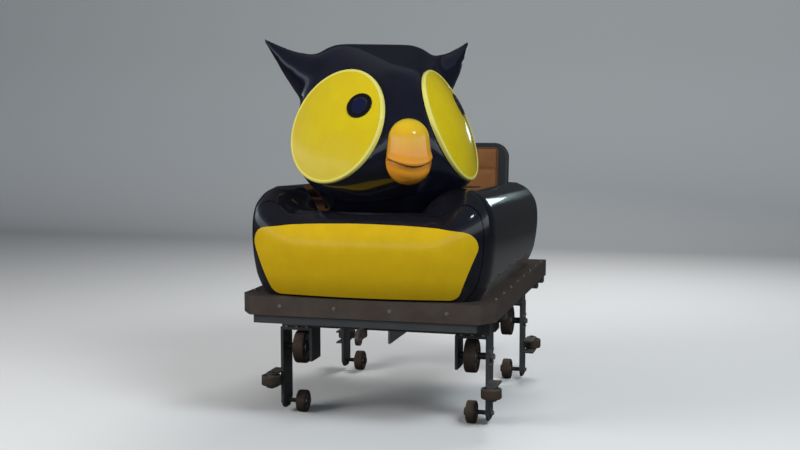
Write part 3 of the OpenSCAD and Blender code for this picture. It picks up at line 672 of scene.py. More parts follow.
def head_lumps(rows, side):
    """Rows of a table, as (centre, radius) on one side of the turned head."""
    return [(on_head @ Vector((x, side * y, EYE_Z + z)), r) for x, y, z, r in rows]


head = bmesh.new()
seats = [(on_eye(side), EYE_TALL + SEAT_BORDER, EYE_W + SEAT_BORDER) for side in (1, -1)]
beak_pad = (on_head @ Matrix.Translation((BEAK_SEAT, 0, EYE_Z - BEAK_DROP))
            @ Matrix.Rotation(math.radians(90), 4, "Y"), BEAK_PAD_R, BEAK_PAD_R)
neck_disc = (Matrix.Translation((HEAD_X, 0, DECK_Z - 0.004)), NECK_R, NECK_R)
add_to(head, hull_of(head_lumps(LUMPS, 1) + head_lumps(LUMPS, -1), seats + [beak_pad, neck_disc]))
for side in (1, -1):
    knots = head_lumps(through(HORN, 21), side)
    for pair in zip(knots, knots[1:]):
        add_to(head, hull_of(pair))
print("head hull faces", len(head.faces))

# %% Join and smooth the head
HEAD_VOXEL, FOOT_KEPT, SEAT_KEPT, SEAT_NEAR = 0.0075, 0.012, 0.97, 0.012
SMOOTHING = [(34, 0.20), (8, 0.10), (2, 0.02)]  # passes, and how near to an ear's tip they come


def smoothed(bm, verts, factor):
    bmesh.ops.smooth_vert(bm, verts=verts, factor=factor, use_axis_x=True, use_axis_y=True,
                          use_axis_z=True)


def voxel_remeshed(bm, name, voxel):
    """The shape as one closed skin of even faces, by a Remesh modifier that is applied."""
    raw = linked(bm, name)
    modifier = raw.modifiers.new("voxels", "REMESH")
    modifier.mode = "VOXEL"
    modifier.voxel_size = voxel
    modifier.use_smooth_shade = True
    graph = bpy.context.evaluated_depsgraph_get()
    even = bmesh.new()
    even.from_mesh(raw.evaluated_get(graph).to_mesh())
    mesh = raw.data
    bpy.data.objects.remove(raw)
    bpy.data.meshes.remove(mesh)
    return even


head = voxel_remeshed(head, "head_voxels", HEAD_VOXEL)
tips = [head_lumps(HORN[-1:], side)[0][0] for side in (1, -1)]
into_eye = [on_eye(side).inverted() for side in (1, -1)]


def may_move(co):
    """Whether the smoothing may move a point: not on the eyes' seats or the foot."""
    seated = [p for p in (matrix @ co for matrix in into_eye) if abs(p.z) < SEAT_NEAR
              and (p.x / EYE_TALL) ** 2 + (p.y / EYE_W) ** 2 < SEAT_KEPT]
    return co.z >= DECK_Z + FOOT_KEPT and not seated


free_verts = [(v, min((v.co - tip).length for tip in tips)) for v in head.verts if may_move(v.co)]
for passes, nearest_tip in SMOOTHING:
    chosen = [v for v, reach in free_verts if reach > nearest_tip]
    for _ in range(passes):
        smoothed(head, chosen, 0.5)
head_piece = finish_piece(head, "head_moulding", HEAD_GEL_NAVY_SHEEN, "car", ["head"])
print("head faces", len(head_piece.data.polygons))

# %% [markdown]
# ## Eyes, pupils and beak
# Each eye is a shallow glossy dome with a paler rolled rim. A disc of rings is lifted onto
# the sphere of the solid, and its outer rings turn down over the edge.

# %% Discs of rings on the eyes
EYE_SPHERE = (EYE_TALL ** 2 + EYE_DOME ** 2) / (2 * EYE_DOME)


def dome(x, y):
    """Height of the eye's sphere over its seat."""
    return EYE_EDGE + EYE_DOME - EYE_SPHERE + math.sqrt(EYE_SPHERE ** 2 - x * x - y * y)


def disc_pieces(kind, solid, rows, segments, materials, outer_strips, outer_material):
    """A disc on each eye. Its rows are rings: radii, middle, and the height over (x, y).

    The outer strips, so many, have one of the two materials, and the rest has the other.
    """
    for side, label in ((1, "left"), (-1, "right")):
        bm = bmesh.new()
        loops = []
        for rx, ry, cx, cy, height in rows:
            circle = bmesh.ops.create_circle(bm, segments=segments, radius=1.0)["verts"]
            for v in circle:
                x, y = v.co.x * rx + cx, v.co.y * ry + cy
                v.co = on_eye(side) @ Vector((x, y, height(x, y)))
            loops.append(edges_of(circle))
        outer = {f for strip in bridged(bm, loops)[:outer_strips] for f in strip}
        bmesh.ops.contextual_create(bm, geom=loops[-1])
        for face in bm.faces:
            face.material_index = outer_material if face in outer else 1 - outer_material
        faced(bm, on_eye(side).to_3x3().col[2])
        finish_piece(bm, f"{kind}_{label}", materials, "car", [f"{solid}_{label}"])


# %% The eyes: a wall, a rolled rim a little proud of the dome, and the dome
RIM_BAND, RIM_RISE = 0.013, 0.0035


def eye_ring(inset, height):
    return (EYE_TALL - inset, EYE_W - inset, 0, 0, height)


eye_rows = [eye_ring(0.0, lambda x, y, h=h: h) for h in (0.0004, 0.004, 0.008)]
eye_rows += [eye_ring(RIM_BAND / 2 * (1 - math.cos(a)),
                      lambda x, y, r=RIM_RISE * math.sin(a): max(0.009, dome(x, y) - 0.0005) + r)
             for a in np.radians([30, 60, 90])]
eye_rows += [eye_ring(RIM_BAND * share, lambda x, y, r=rise: dome(x, y) + r)
             for share, rise in ((0.75, 0.0028), (0.95, 0.0006), (1.05, 0.0), (1.3, 0.0))]
eye_rows += [(EYE_TALL * share, EYE_W * share, 0, 0, dome) for share in np.linspace(0.9, 0.05, 16)]
disc_pieces("eye_dome", "eye", eye_rows, 112, [EYE_GEL, EYE_RIM_GEL], 7, 1)
print("eyes", 2)

# %% Pupils: a thick black ring round a navy middle
PUPIL_R, PUPIL_LEFT, PUPIL_UP, PUPIL_T = 0.056, 0.120, 0.078, 0.004
PUPIL_PROFILE = [(1.0, 0.0004), (1.0, 0.0022), (0.985, 0.0035), (0.95, PUPIL_T), (0.70, PUPIL_T),
                 (0.64, 0.0034), (0.62, 0.0022), (0.60, 0.0016), (0.40, 0.0018), (0.20, 0.0020),
                 (0.05, 0.0020)]  # share of the radius, height over the dome
pupil_rows = [(PUPIL_R * share, PUPIL_R * share, -PUPIL_UP, PUPIL_LEFT,
               lambda x, y, h=height: dome(x, y) + h) for share, height in PUPIL_PROFILE]
disc_pieces("pupil_disc", "pupil", pupil_rows, 64, [PUPIL_RING_GEL, PUPIL_NAVY_GEL], 6, 0)
print("pupils", 2)

# %% The beak's finish: orange, yellower towards the top as painted light, and dark brown painted shade in the fold
BEAK_Z = EYE_Z - BEAK_DROP


def beak_recipe(tree):
    height = node(tree, "SeparateXYZ", {0: object_coords(tree)}).outputs["Z"]
    fold_shade_mask = node(tree, "Attribute", attribute_name="fold").outputs["Fac"]
    cloud = use_group(tree, grain, {"Scale": 60.0})["Blotch"]
    tint = layered(tree, (0.72, 0.27, 0.012, 1),
                   (span(tree, cloud, -0.3, 0.9), (0.80, 0.34, 0.03, 1)),
                   # Yellower towards the top: painted light on the beak's upper half.
                   (ramp(tree, height, BEAK_Z - 0.01, BEAK_Z + 0.11), (0.72, 0.46, 0.015, 1)),
                   # Dark brown in the fold under the upper beak: painted shade in the mouth's crease.
                   (fold_shade_mask, (0.20, 0.06, 0.008, 1)))
    return {"Base Color": tint, "Roughness": span(tree, cloud, 0.14, 0.26), "Coat Weight": 0.8,
            "Coat Roughness": 0.05, "Normal": rippled(tree, 0.002)}


BEAK_GEL = surface("gelcoat_beak", beak_recipe)
print("beak finish")

# %% The beak itself
BEAK_KNOBS = [(-0.044, 0.097), (0.044, 0.086)]  # height of a sphere from the middle, radius
MOUTH_DROP, MOUTH_CURL = -0.066, 3.2
FOLD_BELOW, FOLD_ABOVE, FOLD_DEPTH = 0.0075, 0.0045, 0.009  # the fold's widths under and over its line
knob_heights, knob_radii = np.linspace(*BEAK_KNOBS, 90).T


def beak_point(direction):
    """The beak's surface in a direction: the outermost of a row of spheres, knob to knob."""
    along_it = direction.z * knob_heights
    reach = along_it + np.sqrt(np.maximum(0.0, along_it ** 2 - knob_heights ** 2 + knob_radii ** 2))
    return direction * float(reach.max())


def hump(off, width):
    return math.exp(-(off / width) ** 2)


beak = bmesh.new()
bmesh.ops.create_uvsphere(beak, u_segments=144, v_segments=128, radius=1.0,
                          matrix=Matrix.Rotation(math.radians(90), 4, "Y"))
fold_shade_layer = beak.verts.layers.float.new("fold")
for v in beak.verts:
    p = beak_point(v.co.normalized())
    off = p.z - (MOUTH_DROP + MOUTH_CURL * p.y * p.y)  # from the mouth, turned up at its ends
    reach = min(1.0, max(0.0, (p.x - 0.008) / 0.02))
    groove = hump(off, FOLD_BELOW if off < 0 else FOLD_ABOVE)
    chin, lip = 0.008 * hump(off + 0.018, 0.016), 0.004 * hump(off - 0.016, 0.014)
    sunk = groove * FOLD_DEPTH + chin - lip
    p -= p.normalized() * sunk * reach
    # The fold's mask is the painted shade of the crease, strongest where the groove is deepest.
    v[fold_shade_layer] = min(1.0, groove * 1.15) * reach
    v.co = on_head @ Vector((BEAK_SEAT - 0.007 + p.x, p.y, BEAK_Z + p.z))
cut_away(beak, on_head @ Vector((BEAK_SEAT + 0.0004, 0, BEAK_Z)), -on_head.to_3x3().col[0])
bmesh.ops.contextual_create(beak, geom=[e for e in beak.edges if e.is_boundary])
faced(beak)
beak_piece = finish_piece(beak, "beak_knob", BEAK_GEL, "car", ["beak"])
print("beak faces", len(beak_piece.data.polygons))

# %% [markdown]
# ## The deck round the neck
# The deck closes the tub round the neck. It ends in a dash lip over the riders' knees, which
# a toe board carries. All three are one moulding, so they are made in one mesh.

# %% Deck, dash lip and toe board
FLOOR_TOP, TOE_X, DASH_DROP, DASH_Y, TOE_Y = 0.532, 0.480, 0.110, 0.394, 0.375
DASH_TOP, DASH_R, TOE_R, DECK_FIT, DECK_EDGE_R = DECK_Z - 0.002, 0.0055, 0.002, 0.0006, 0.003


def rounded(bm, edges, offset, segments):
    bmesh.ops.bevel(bm, geom=edges, offset=offset, segments=segments, profile=0.5, affect="EDGES",
                    material=-1)


def box_bm(low, high, rounding=0.0, segments=3):
    """A box between two corners, with its edges rounded."""
    bm = bmesh.new()
    bmesh.ops.create_cube(bm, size=1.0)
    low, high = Vector(low), Vector(high)
    bmesh.ops.scale(bm, vec=high - low, verts=bm.verts)
    bmesh.ops.translate(bm, vec=(low + high) / 2, verts=bm.verts)
    if rounding:
        rounded(bm, bm.edges[:], rounding, segments)
    return bm


deck = bmesh.new()
ahead = outline[outline[:, 3] >= DECK_REAR][:, 3:5]
ahead = ahead[np.argsort(np.arctan2(ahead[:, 1], ahead[:, 0] - DECK_REAR))]
plan = np.vstack([[DECK_REAR, -OPENING_R], ahead, [DECK_REAR, OPENING_R]])
plan = plan * [1.0, (OPENING_R - DECK_FIT) / OPENING_R]
circle = bmesh.ops.create_circle(deck, segments=len(plan), radius=1.0, cap_ends=True)["verts"]
for v, (x, y) in zip(circle, plan):
    v.co = (x, y, DECK_Z)
grown = bmesh.ops.extrude_face_region(deck, geom=deck.faces[:])
bmesh.ops.translate(deck, vec=(0, 0, -WALL),
                    verts=[g for g in grown["geom"] if isinstance(g, bmesh.types.BMVert)])
faced(deck)
add_to(deck, box_bm((DECK_REAR, -DASH_Y, DECK_Z - DASH_DROP), (DECK_REAR + WALL, DASH_Y, DASH_TOP),
                    DASH_R))
add_to(deck, box_bm((TOE_X, -TOE_Y, FLOOR_TOP), (TOE_X + WALL, TOE_Y, DECK_Z - WALL), TOE_R))
deck_piece = finish_piece(deck, "deck_moulding", BLACK_GEL_BLUE_SHEEN, "car", ["deck"], 35)
bevelled(deck_piece, DECK_EDGE_R, 3, 60)
print("deck faces", len(deck_piece.data.polygons))

# %% [markdown]
# ## Steel, paint, rubber and plastic
# The frame is painted steel with chips on its edges. The skirt is bare steel that has gone
# grey-brown. Handle and lap bar are polished tube.

# %% Grained surfaces: metal, worn paint, rubber and plastic
CHIPPED_TO = (0.20, 0.17, 0.14, 1)


def grainy(name, colour, stain, rough, scale, stained, dusty, rub, relief, stretch=1.0, chips=0.0,
           **more):
    """Colour, clouds of a stain, chips on the edges, dust and a fine grain of a scale.

    stained is the clouds' reach, dusty is (amount, scale), rub is what the roughness is
    multiplied by at least and at most, relief is (depth, strength), and more goes to the
    shader as it is.
    """
    def recipe(tree):
        fine = use_group(tree, grain, {"Scale": scale, "Stretch": stretch})
        layers = [(span(tree, fine["Blotch"], *stained), stain), dusty_layer(tree, *dusty)]
        inputs = {"Normal": bump(tree, fine["Height"], *relief), **more}
        if chips:
            chip = use_group(tree, edge_wear, {"Radius": 0.004, "Amount": chips})["Mask"]
            layers.insert(1, (chip, CHIPPED_TO))
            inputs["Metallic"] = times(tree, chip, 0.8)
        inputs["Base Color"] = layered(tree, colour, *layers)
        speckle = fine["Blotch" if chips else "Height"]
        inputs["Roughness"] = span(tree, speckle, *(rough * x for x in rub))
        return inputs
    return surface(name, recipe)


def metal(name, colour, stain, rough, metallic, stretch=1.0, depth=0.0004):
    """Brushed or cast metal."""
    return grainy(name, colour, stain, rough, 320.0, (-0.5, 0.8), (0.25, 14.0), (0.75, 1.3),
                  (depth, 0.5), stretch, Metallic=metallic)


def dull(name, colour, shade, rough, scale, depth, dusty=0.25, coat=0.0):
    """A dull moulded surface."""
    return grainy(name, colour, shade, rough, scale, (-0.3, 1.2), (dusty, 12.0), (0.85, 1.15),
                  (depth, 0.6), **{"Coat Weight": coat, "Coat Roughness": 0.25})


FRAME_PAINT = grainy("frame_paint_worn", (0.035, 0.037, 0.042, 1), (0.060, 0.058, 0.056, 1), 0.45,
                     260.0, (-0.4, 1.1), (0.35, 10.0), (0.8, 1.3), (0.0005, 0.4), chips=0.85)
SKIRT_STEEL = metal("skirt_steel_stained", (0.150, 0.115, 0.100, 1), (0.070, 0.042, 0.034, 1), 0.40,
                    0.7)
HUB_STEEL = metal("hub_steel", (0.34, 0.32, 0.30, 1), (0.14, 0.12, 0.10, 1), 0.38, 0.9)
BOLT_STEEL = metal("bolt_zinc", (0.42, 0.41, 0.38, 1), (0.24, 0.20, 0.16, 1), 0.35, 0.9)
TUBE_STEEL = metal("tube_polished", (0.62, 0.62, 0.62, 1), (0.48, 0.47, 0.45, 1), 0.16, 1.0, 0.15,
                   0.0001)
FIN_STEEL = metal("fin_steel_brushed", (0.38, 0.37, 0.35, 1), (0.24, 0.21, 0.18, 1), 0.32, 0.95, 0.05)
TREAD = dull("wheel_polyurethane", (0.060, 0.036, 0.022, 1), (0.030, 0.022, 0.018, 1), 0.5, 300,
             0.0004)
SEAT_SHELL = dull("seat_glass_fibre", (0.020, 0.021, 0.023, 1), (0.026, 0.026, 0.028, 1), 0.42, 420,
                  0.0005, 0.07, 0.2)
FOAM = dull("bar_foam", (0.012, 0.012, 0.013, 1), (0.018, 0.017, 0.017, 1), 0.70, 700, 0.0010, 0.06)
THREAD = dull("piping_vinyl", (0.090, 0.036, 0.012, 1), (0.13, 0.055, 0.020, 1), 0.45, 500, 0.0003)
print("grained finishes", 10)


# %% Vinyl, and chequer plate with raised lozenges in two directions
STUD_STEP, STUD_L, STUD_W = 0.016, 0.011, 0.0035


def vinyl_recipe(tree):
    fine = use_group(tree, grain, {"Scale": 120.0})
    skin_height = use_group(tree, pebble, {"Scale": 300.0})["Height"]
    tint = layered(tree, (0.22, 0.085, 0.026, 1),
                   (span(tree, fine["Blotch"], -0.4, 1.2), (0.30, 0.125, 0.042, 1)),
                   # Darker in the creases between the pebbles: painted shade.
                   (span(tree, skin_height, 0.55, 0.0), (0.11, 0.040, 0.013, 1)),
                   dusty_layer(tree, 0.12, 9.0))
    return {"Base Color": tint, "Roughness": span(tree, fine["Blotch"], 0.32, 0.50),
            "Specular IOR Level": 0.45, "Normal": bump(tree, skin_height, 0.0007, 0.6)}


def lozenges(tree, angle, shift):
    """Rows of long narrow studs turned by an angle, as a height from 0 to 1."""
    turned = node(tree, "Mapping", {"Vector": object_coords(tree), "Location": (shift, shift, 0),
                                    "Rotation": (0, 0, math.radians(angle))})
    parts = node(tree, "SeparateXYZ", {0: turned.outputs[0]}).outputs
    squares = []
    for way, half in (("X", STUD_L), ("Y", STUD_W)):
        off = math_node(tree, "PINGPONG", parts[way], STUD_STEP)
        squares.append(math_node(tree, "POWER", math_node(tree, "DIVIDE", off, half), 2.0))
    return math_node(tree, "SUBTRACT", 1.0, math_node(tree, "ADD", *squares), clamp=True)


def chequer_recipe(tree):
    studs = math_node(tree, "MAXIMUM", lozenges(tree, 45, 0.0), lozenges(tree, -45, STUD_STEP))
    fine = use_group(tree, grain, {"Scale": 200.0})
    tint = layered(tree, (0.24, 0.24, 0.24, 1),
                   (span(tree, fine["Blotch"], -0.3, 0.9), (0.14, 0.13, 0.12, 1)),
                   (times(tree, studs, 0.6), (0.50, 0.50, 0.49, 1)), dusty_layer(tree, 0.45, 8.0))
    return {"Base Color": tint, "Metallic": 0.8, "Roughness": span(tree, fine["Height"], 0.30, 0.50),
            "Normal": bump(tree, studs, 0.0015, 0.8)}


VINYL = surface("cushion_vinyl_brown", vinyl_recipe)
CHEQUER = surface("floor_chequer_plate", chequer_recipe)
print("vinyl and chequer plate")

# %% Give the solids that stay their finish
STAYING = {
    FRAME_PAINT: ["chassis", "front_axle", "rear_axle", "lap_bar_brackets", "drawbar"]
    + [f"carrier_{end}_{side}" for end in ("front", "rear") for side in ("left", "right")],
    SKIRT_STEEL: ["skirt_frame", "tow_eye"],
    FIN_STEEL: ["drive_fin"],
    TUBE_STEEL: ["lap_bar", "grab_handle"],
    CHEQUER: ["floor"],
}
for material, names in STAYING.items():
    for name in names:
        for material_slot in nodes[name].material_slots:
            material_slot.material = material
print("solids with a finish", sum(len(names) for names in STAYING.values()))

# %% [markdown]
# ## Wheels
# Every corner has three wheels round its rail: a road wheel on top, an up-stop wheel below
# and a guide wheel outside. Each is a polyurethane tread bonded to a steel hub. A profile is
# spun about the axle, and a ring of bolt heads is set into the web.

# %% Spin a wheel
RAIL_Y, AXLE_X, ROAD_Z, UPSTOP_Z, RAIL_MID = 0.390, 0.450, 0.300, 0.050, 0.165
GUIDE_LEAD, GUIDE_Y = 0.115, 0.498
WEB_BOLT_R, WEB_BOLT_HALF = 0.0042, 0.002


def moved(bm, matrix, verts=None):
    bmesh.ops.transform(bm, matrix=matrix, verts=bm.verts if verts is None else verts)


def lathed(points, centre, axis, steps):
    """A bmesh of a closed chain of points, spun right round an axis."""
    bm = bmesh.new()
    chain = [bm.verts.new(p) for p in points]
    edges = [bm.edges.new(pair) for pair in zip(chain, chain[1:] + chain[:1])]
    bmesh.ops.spin(bm, geom=chain + edges, cent=centre, axis=axis, dvec=(0, 0, 0), angle=math.tau,
                   steps=steps, use_merge=True)
    faced(bm)
    return bm


def cone(bm, place, low, high, r, top_r, sides):
    """A closed cone stub along +Z from a place, between two heights; gives its points."""
    middle = Vector(place) + Vector((0, 0, (high + low) / 2))
    return bmesh.ops.create_cone(bm, cap_ends=True, segments=sides, radius1=r, radius2=top_r,
                                 depth=high - low, matrix=Matrix.Translation(middle))["verts"]


def wheel_bm(d, w, bore, hub, bolts):
    """A wheel about Z: its steel faces have material 1 and its tread 0."""
    r = d / 2  # the profile goes from the bore over hub and web to the tread's rounded edge
    profile = [(bore, w / 2 + 0.0015), (hub - 0.002, w / 2 + 0.0015), (hub, w / 2 - 0.0005),
               (hub + 0.001, w / 2 - 0.005), (r - 0.0175, w / 2 - 0.005), (r - 0.016, w / 2 - 0.0035),
               (r - 0.014, w / 2), (r - 0.005, w / 2), (r - 0.002, w / 2 - 0.0012),
               (r - 0.0006, w / 2 - 0.004), (r, w / 2 - 0.008)]
    profile += [(x, -z) for x, z in profile[::-1]]
    bm = lathed([(x, 0, z) for x, z in profile], (0, 0, 0), (0, 0, 1), 72)
    for face in bm.faces:
        middle = face.calc_center_median()
        face.material_index = 0 if math.hypot(middle.x, middle.y) > r - 0.0165 else 1
    reach = (hub + r - 0.016) / 2
    for a in np.arange(bolts) * math.tau / bolts:
        for z in (w / 2 - 0.0035, 0.0035 - w / 2):
            place = (reach * math.cos(a), reach * math.sin(a), z)
            for v in cone(bm, place, -WEB_BOLT_HALF, WEB_BOLT_HALF, WEB_BOLT_R, WEB_BOLT_R, 6):
                for face in v.link_faces:
                    face.material_index = 1
    return bm


CORNERS = [(end, side, sx, sy) for end, sx in (("front", 1), ("rear", -1))
           for side, sy in (("left", 1), ("right", -1))]
WHEELS = {  # kind: (diameter, width, bore, hub radius, bolts)
    "road_wheel": (0.150, 0.050, 0.0153, 0.029, 8),
    "upstop_wheel": (0.100, 0.042, 0.0103, 0.020, 6),
    "guide_wheel": (0.090, 0.044, 0.0103, 0.020, 6),
}
on_side = Matrix.Rotation(math.radians(90), 4, "X")
for end, side, sx, sy in CORNERS:
    places = {"road_wheel": (sx * AXLE_X, sy * RAIL_Y, ROAD_Z),
              "upstop_wheel": (sx * AXLE_X, sy * RAIL_Y, UPSTOP_Z),
              "guide_wheel": (sx * (AXLE_X + GUIDE_LEAD), sy * GUIDE_Y, RAIL_MID)}
    for kind, sizes in WHEELS.items():
        bm = wheel_bm(*sizes)
        place = Matrix.Translation(places[kind])
        moved(bm, place if kind == "guide_wheel" else place @ on_side)
        cad_name = f"{kind}_{end}_{side}"
        finish_piece(bm, cad_name.replace("wheel", "tread"), [TREAD, HUB_STEEL], cad_name,
                     [cad_name], 30)
print("wheels", len(CORNERS) * len(WHEELS))

# %% [markdown]
# ## Bolts and weld beads
# The carriers hang from their beams on hexagon bolts, and their plates are welded. A bolt is
# a six-sided cone stub on a washer. A weld bead is a thin tube whose radius swells and
# shrinks from ring to ring, as the puddles of a real weld do.


# %% A bolt head, and a bead along a line
def add_bolt(bm, place, way, r=0.009, thick=0.007):
    """A washer and a hexagon head with a chamfered top, on a place and along a way."""
    turn = Vector(way).to_track_quat("Z", "Y").to_matrix().to_4x4()
    verts = cone(bm, (0, 0, 0), 0.0, 0.0016, r * 1.45, r * 1.45, 20)
    verts += cone(bm, (0, 0, 0), 0.0012, thick, r, r, 6)
    verts += cone(bm, (0, 0, 0), thick - 0.0003, thick + 0.0015, r * 0.85, r * 0.66, 18)
    moved(bm, Matrix.Translation(place) @ turn, verts)


def add_bead(bm, start, end, r=0.0035):
    """A weld bead between two points."""
    start, end = Vector(start), Vector(end)
    count = max(4, int((end - start).length / 0.0035))
    turn = (end - start).to_track_quat("Z", "Y").to_matrix().to_4x4()
    loops = []
    for i in range(count + 1):
        place = start.lerp(end, i / count)
        swell = r * (1.0 + 0.16 * math.cos(i * 2.1) + 0.12 * noise.noise(place * 90))
        loops.append(edges_of(bmesh.ops.create_circle(
            bm, segments=7, radius=swell * (0.5 if i in (0, count) else 1), cap_ends=i in (0, count),
            matrix=Matrix.Translation(place) @ turn)["verts"]))
    bridged(bm, loops)


# %% Bolts and beads on the carriers
PLATE_Y, PLATE_T, INNER_Y, CARRIER_TOP = 0.462, 0.012, 0.338, 0.397
PLATE_BOLTS_R, AHEAD, BEAD_HALF = 0.042, 0.050, 0.058
SMALL_BOLT = (0.0065, 0.006)  # radius, height
for end, side, sx, sy in CORNERS:
    bolts, beads = bmesh.new(), bmesh.new()
    outer = sy * (PLATE_Y + PLATE_T)
    x = sx * AXLE_X
    for a in np.radians([45, 135, 225, 315]):
        add_bolt(bolts, (x + PLATE_BOLTS_R * math.cos(a), outer, ROAD_Z + PLATE_BOLTS_R * math.sin(a)),
                 (0, sy, 0), *SMALL_BOLT)
    add_bolt(bolts, (x, outer + sy * 0.007, ROAD_Z), (0, sy, 0), 0.013, 0.010)
    add_bolt(bolts, (x, outer + sy * 0.006, UPSTOP_Z), (0, sy, 0), 0.010, 0.008)
    for dx in (-AHEAD, AHEAD):
        for y in (0.352, 0.400, 0.448):
            add_bolt(bolts, (x + dx, sy * y, CARRIER_TOP), (0, 0, 1), *SMALL_BOLT)
    for y in (sy * PLATE_Y, sy * INNER_Y):
        z = CARRIER_TOP - PLATE_T
        add_bead(beads, (x - BEAD_HALF, y, z), (x + BEAD_HALF, y, z))
    for z in (RAIL_MID - 0.032, RAIL_MID + 0.032):
        add_bead(beads, (x + sx * 0.004, outer, z), (x + sx * BEAD_HALF, outer, z), 0.003)
    faced(beads)
    body = "front_axle_assembly" if sx > 0 else "car"
    finish_piece(bolts, f"bolts_{end}_{side}", BOLT_STEEL, body, crease=30)
    finish_piece(beads, f"welds_{end}_{side}", FRAME_PAINT, body)
print("bolted corners", len(CORNERS))

# %% Bolts along the skirt, and beads on the frame
SKIRT_TOP, SKIRT_MID, SKIRT_FRONT, SKIRT_REAR, LEDGE_Y, FRAME_Z = 0.585, 0.545, 0.825, 0.680, 0.532, 0.470
LEDGE_BOLTS, END_BOLTS = np.linspace(-0.60, 0.66, 8), (-0.36, -0.12, 0.12, 0.36)
skirt_bolts, frame_beads = bmesh.new(), bmesh.new()
for sign in (1, -1):
    for x in LEDGE_BOLTS:
        add_bolt(skirt_bolts, (x, sign * LEDGE_Y, SKIRT_TOP), (0, 0, 1), 0.0055, 0.005)
for y in END_BOLTS:
    add_bolt(skirt_bolts, (-SKIRT_REAR, y, SKIRT_MID), (-1, 0, 0), 0.0075, 0.007)
    add_bolt(skirt_bolts, (SKIRT_FRONT, y, SKIRT_MID), (1, 0, 0), 0.0060, 0.005)
for x in (AXLE_X, 0.0, -AXLE_X):
    for dx in (-0.025, 0.025):
        for y in (0.090, 0.150, -0.090, -0.150):
            add_bead(frame_beads, (x + dx, y, FRAME_Z + 0.002), (x + dx, y, FRAME_Z + 0.046))
faced(frame_beads)
skirt_piece = finish_piece(skirt_bolts, "skirt_bolts", BOLT_STEEL, "car", crease=30)
finish_piece(frame_beads, "frame_welds", FRAME_PAINT, "car")
print("skirt bolts", len(skirt_piece.data.polygons))

# %% [markdown]
# ## Seat, cushions and lap bar
# A dark moulded bench carries two brown vinyl cushions. Foam under vinyl bulges between its
# seams, so each cushion is a slightly small block that cloth simulation inflates while its
# underside is held. The sewn channels and the piping come after that.

# %% The seat moulding
BACK_X, BACK_LEAN, BACK_L, BACK_T, SEAT_Y = -0.400, 7.0, 0.455, 0.050, 0.385
SEAT_H, SEAT_FRONT, CUSHION_T, CUSHION_Y = 0.213, -0.080, 0.062, 0.348
BENCH_R, BACK_TOP_R, BACK_EDGE_R = 0.018, 0.070, 0.012
SEAT_TOP = FLOOR_TOP + SEAT_H
on_back = (Matrix.Translation((BACK_X, 0, SEAT_TOP))
           @ Matrix.Rotation(math.radians(-BACK_LEAN), 4, "Y"))
bench = box_bm((BACK_X - 0.090, -SEAT_Y, FLOOR_TOP), (SEAT_FRONT, SEAT_Y, SEAT_TOP))
rounded(bench, [e for e in bench.edges if max(v.co.z for v in e.verts) > FLOOR_TOP + 0.1],
        BENCH_R, 5)
backrest = box_bm((-BACK_T, -SEAT_Y, -WALL), (0, SEAT_Y, BACK_L))
rounded(backrest, [e for e in backrest.edges if all(v.co.z > BACK_L - 0.01 for v in e.verts)
                   and abs(e.verts[0].co.y - e.verts[1].co.y) < 1e-4], BACK_TOP_R, 10)
rounded(backrest, [e for e in backrest.edges if e.calc_face_angle(0) > 0.6], BACK_EDGE_R, 4)
moved(backrest, on_back)
add_to(bench, backrest)
bench_piece = finish_piece(bench, "seat_bench", SEAT_SHELL, "car",
                           ["seat_moulding"], 35)
print("bench faces", len(bench_piece.data.polygons))

# %% Inflate a cushion with cloth simulation
CLOTH_VOXEL, PRESSURE, CLOTH_FRAMES, SWELL = 0.0065, 4.0, 18, 0.012


def inflated(bm, name, pinned):
    """Cloth-simulates a closed shape under pressure; no point moves further than SWELL."""
    swelling = linked(voxel_remeshed(bm, name + "_voxels", CLOTH_VOXEL), name + "_cloth")
    mesh = swelling.data
    start = np.array([v.co for v in mesh.vertices])
    held = swelling.vertex_groups.new(name="held")
    held.add([i for i, place in enumerate(start) if pinned(place)], 1.0, "REPLACE")
    cloth = swelling.modifiers.new("cloth", "CLOTH")
    cloth.settings.use_pressure = True
    cloth.settings.uniform_pressure_force = PRESSURE
    cloth.settings.vertex_group_mass = "held"
    cloth.settings.effector_weights.gravity = 0.0
    cloth.settings.quality = 5
    for number in range(1, CLOTH_FRAMES + 1):
        bpy.context.scene.frame_set(number)
    graph = bpy.context.evaluated_depsgraph_get()
    move = np.array([v.co for v in swelling.evaluated_get(graph).to_mesh().vertices]) - start
    bpy.context.scene.frame_set(1)
    far = np.linalg.norm(move, axis=1).max()
    mesh.vertices.foreach_set("co", (start + move * min(1.0, SWELL / far)).ravel())
    print(name, "swelled by", round(float(far) * 1000), "mm, kept", round(SWELL * 1000))
    bpy.data.objects.remove(swelling)
    return mesh


# %% Piping round a cushion
PIPING_R, PIPING_SUNK, PIPING_POINTS, SUPERELLIPSE = 0.0040, 0.35, 240, 0.16


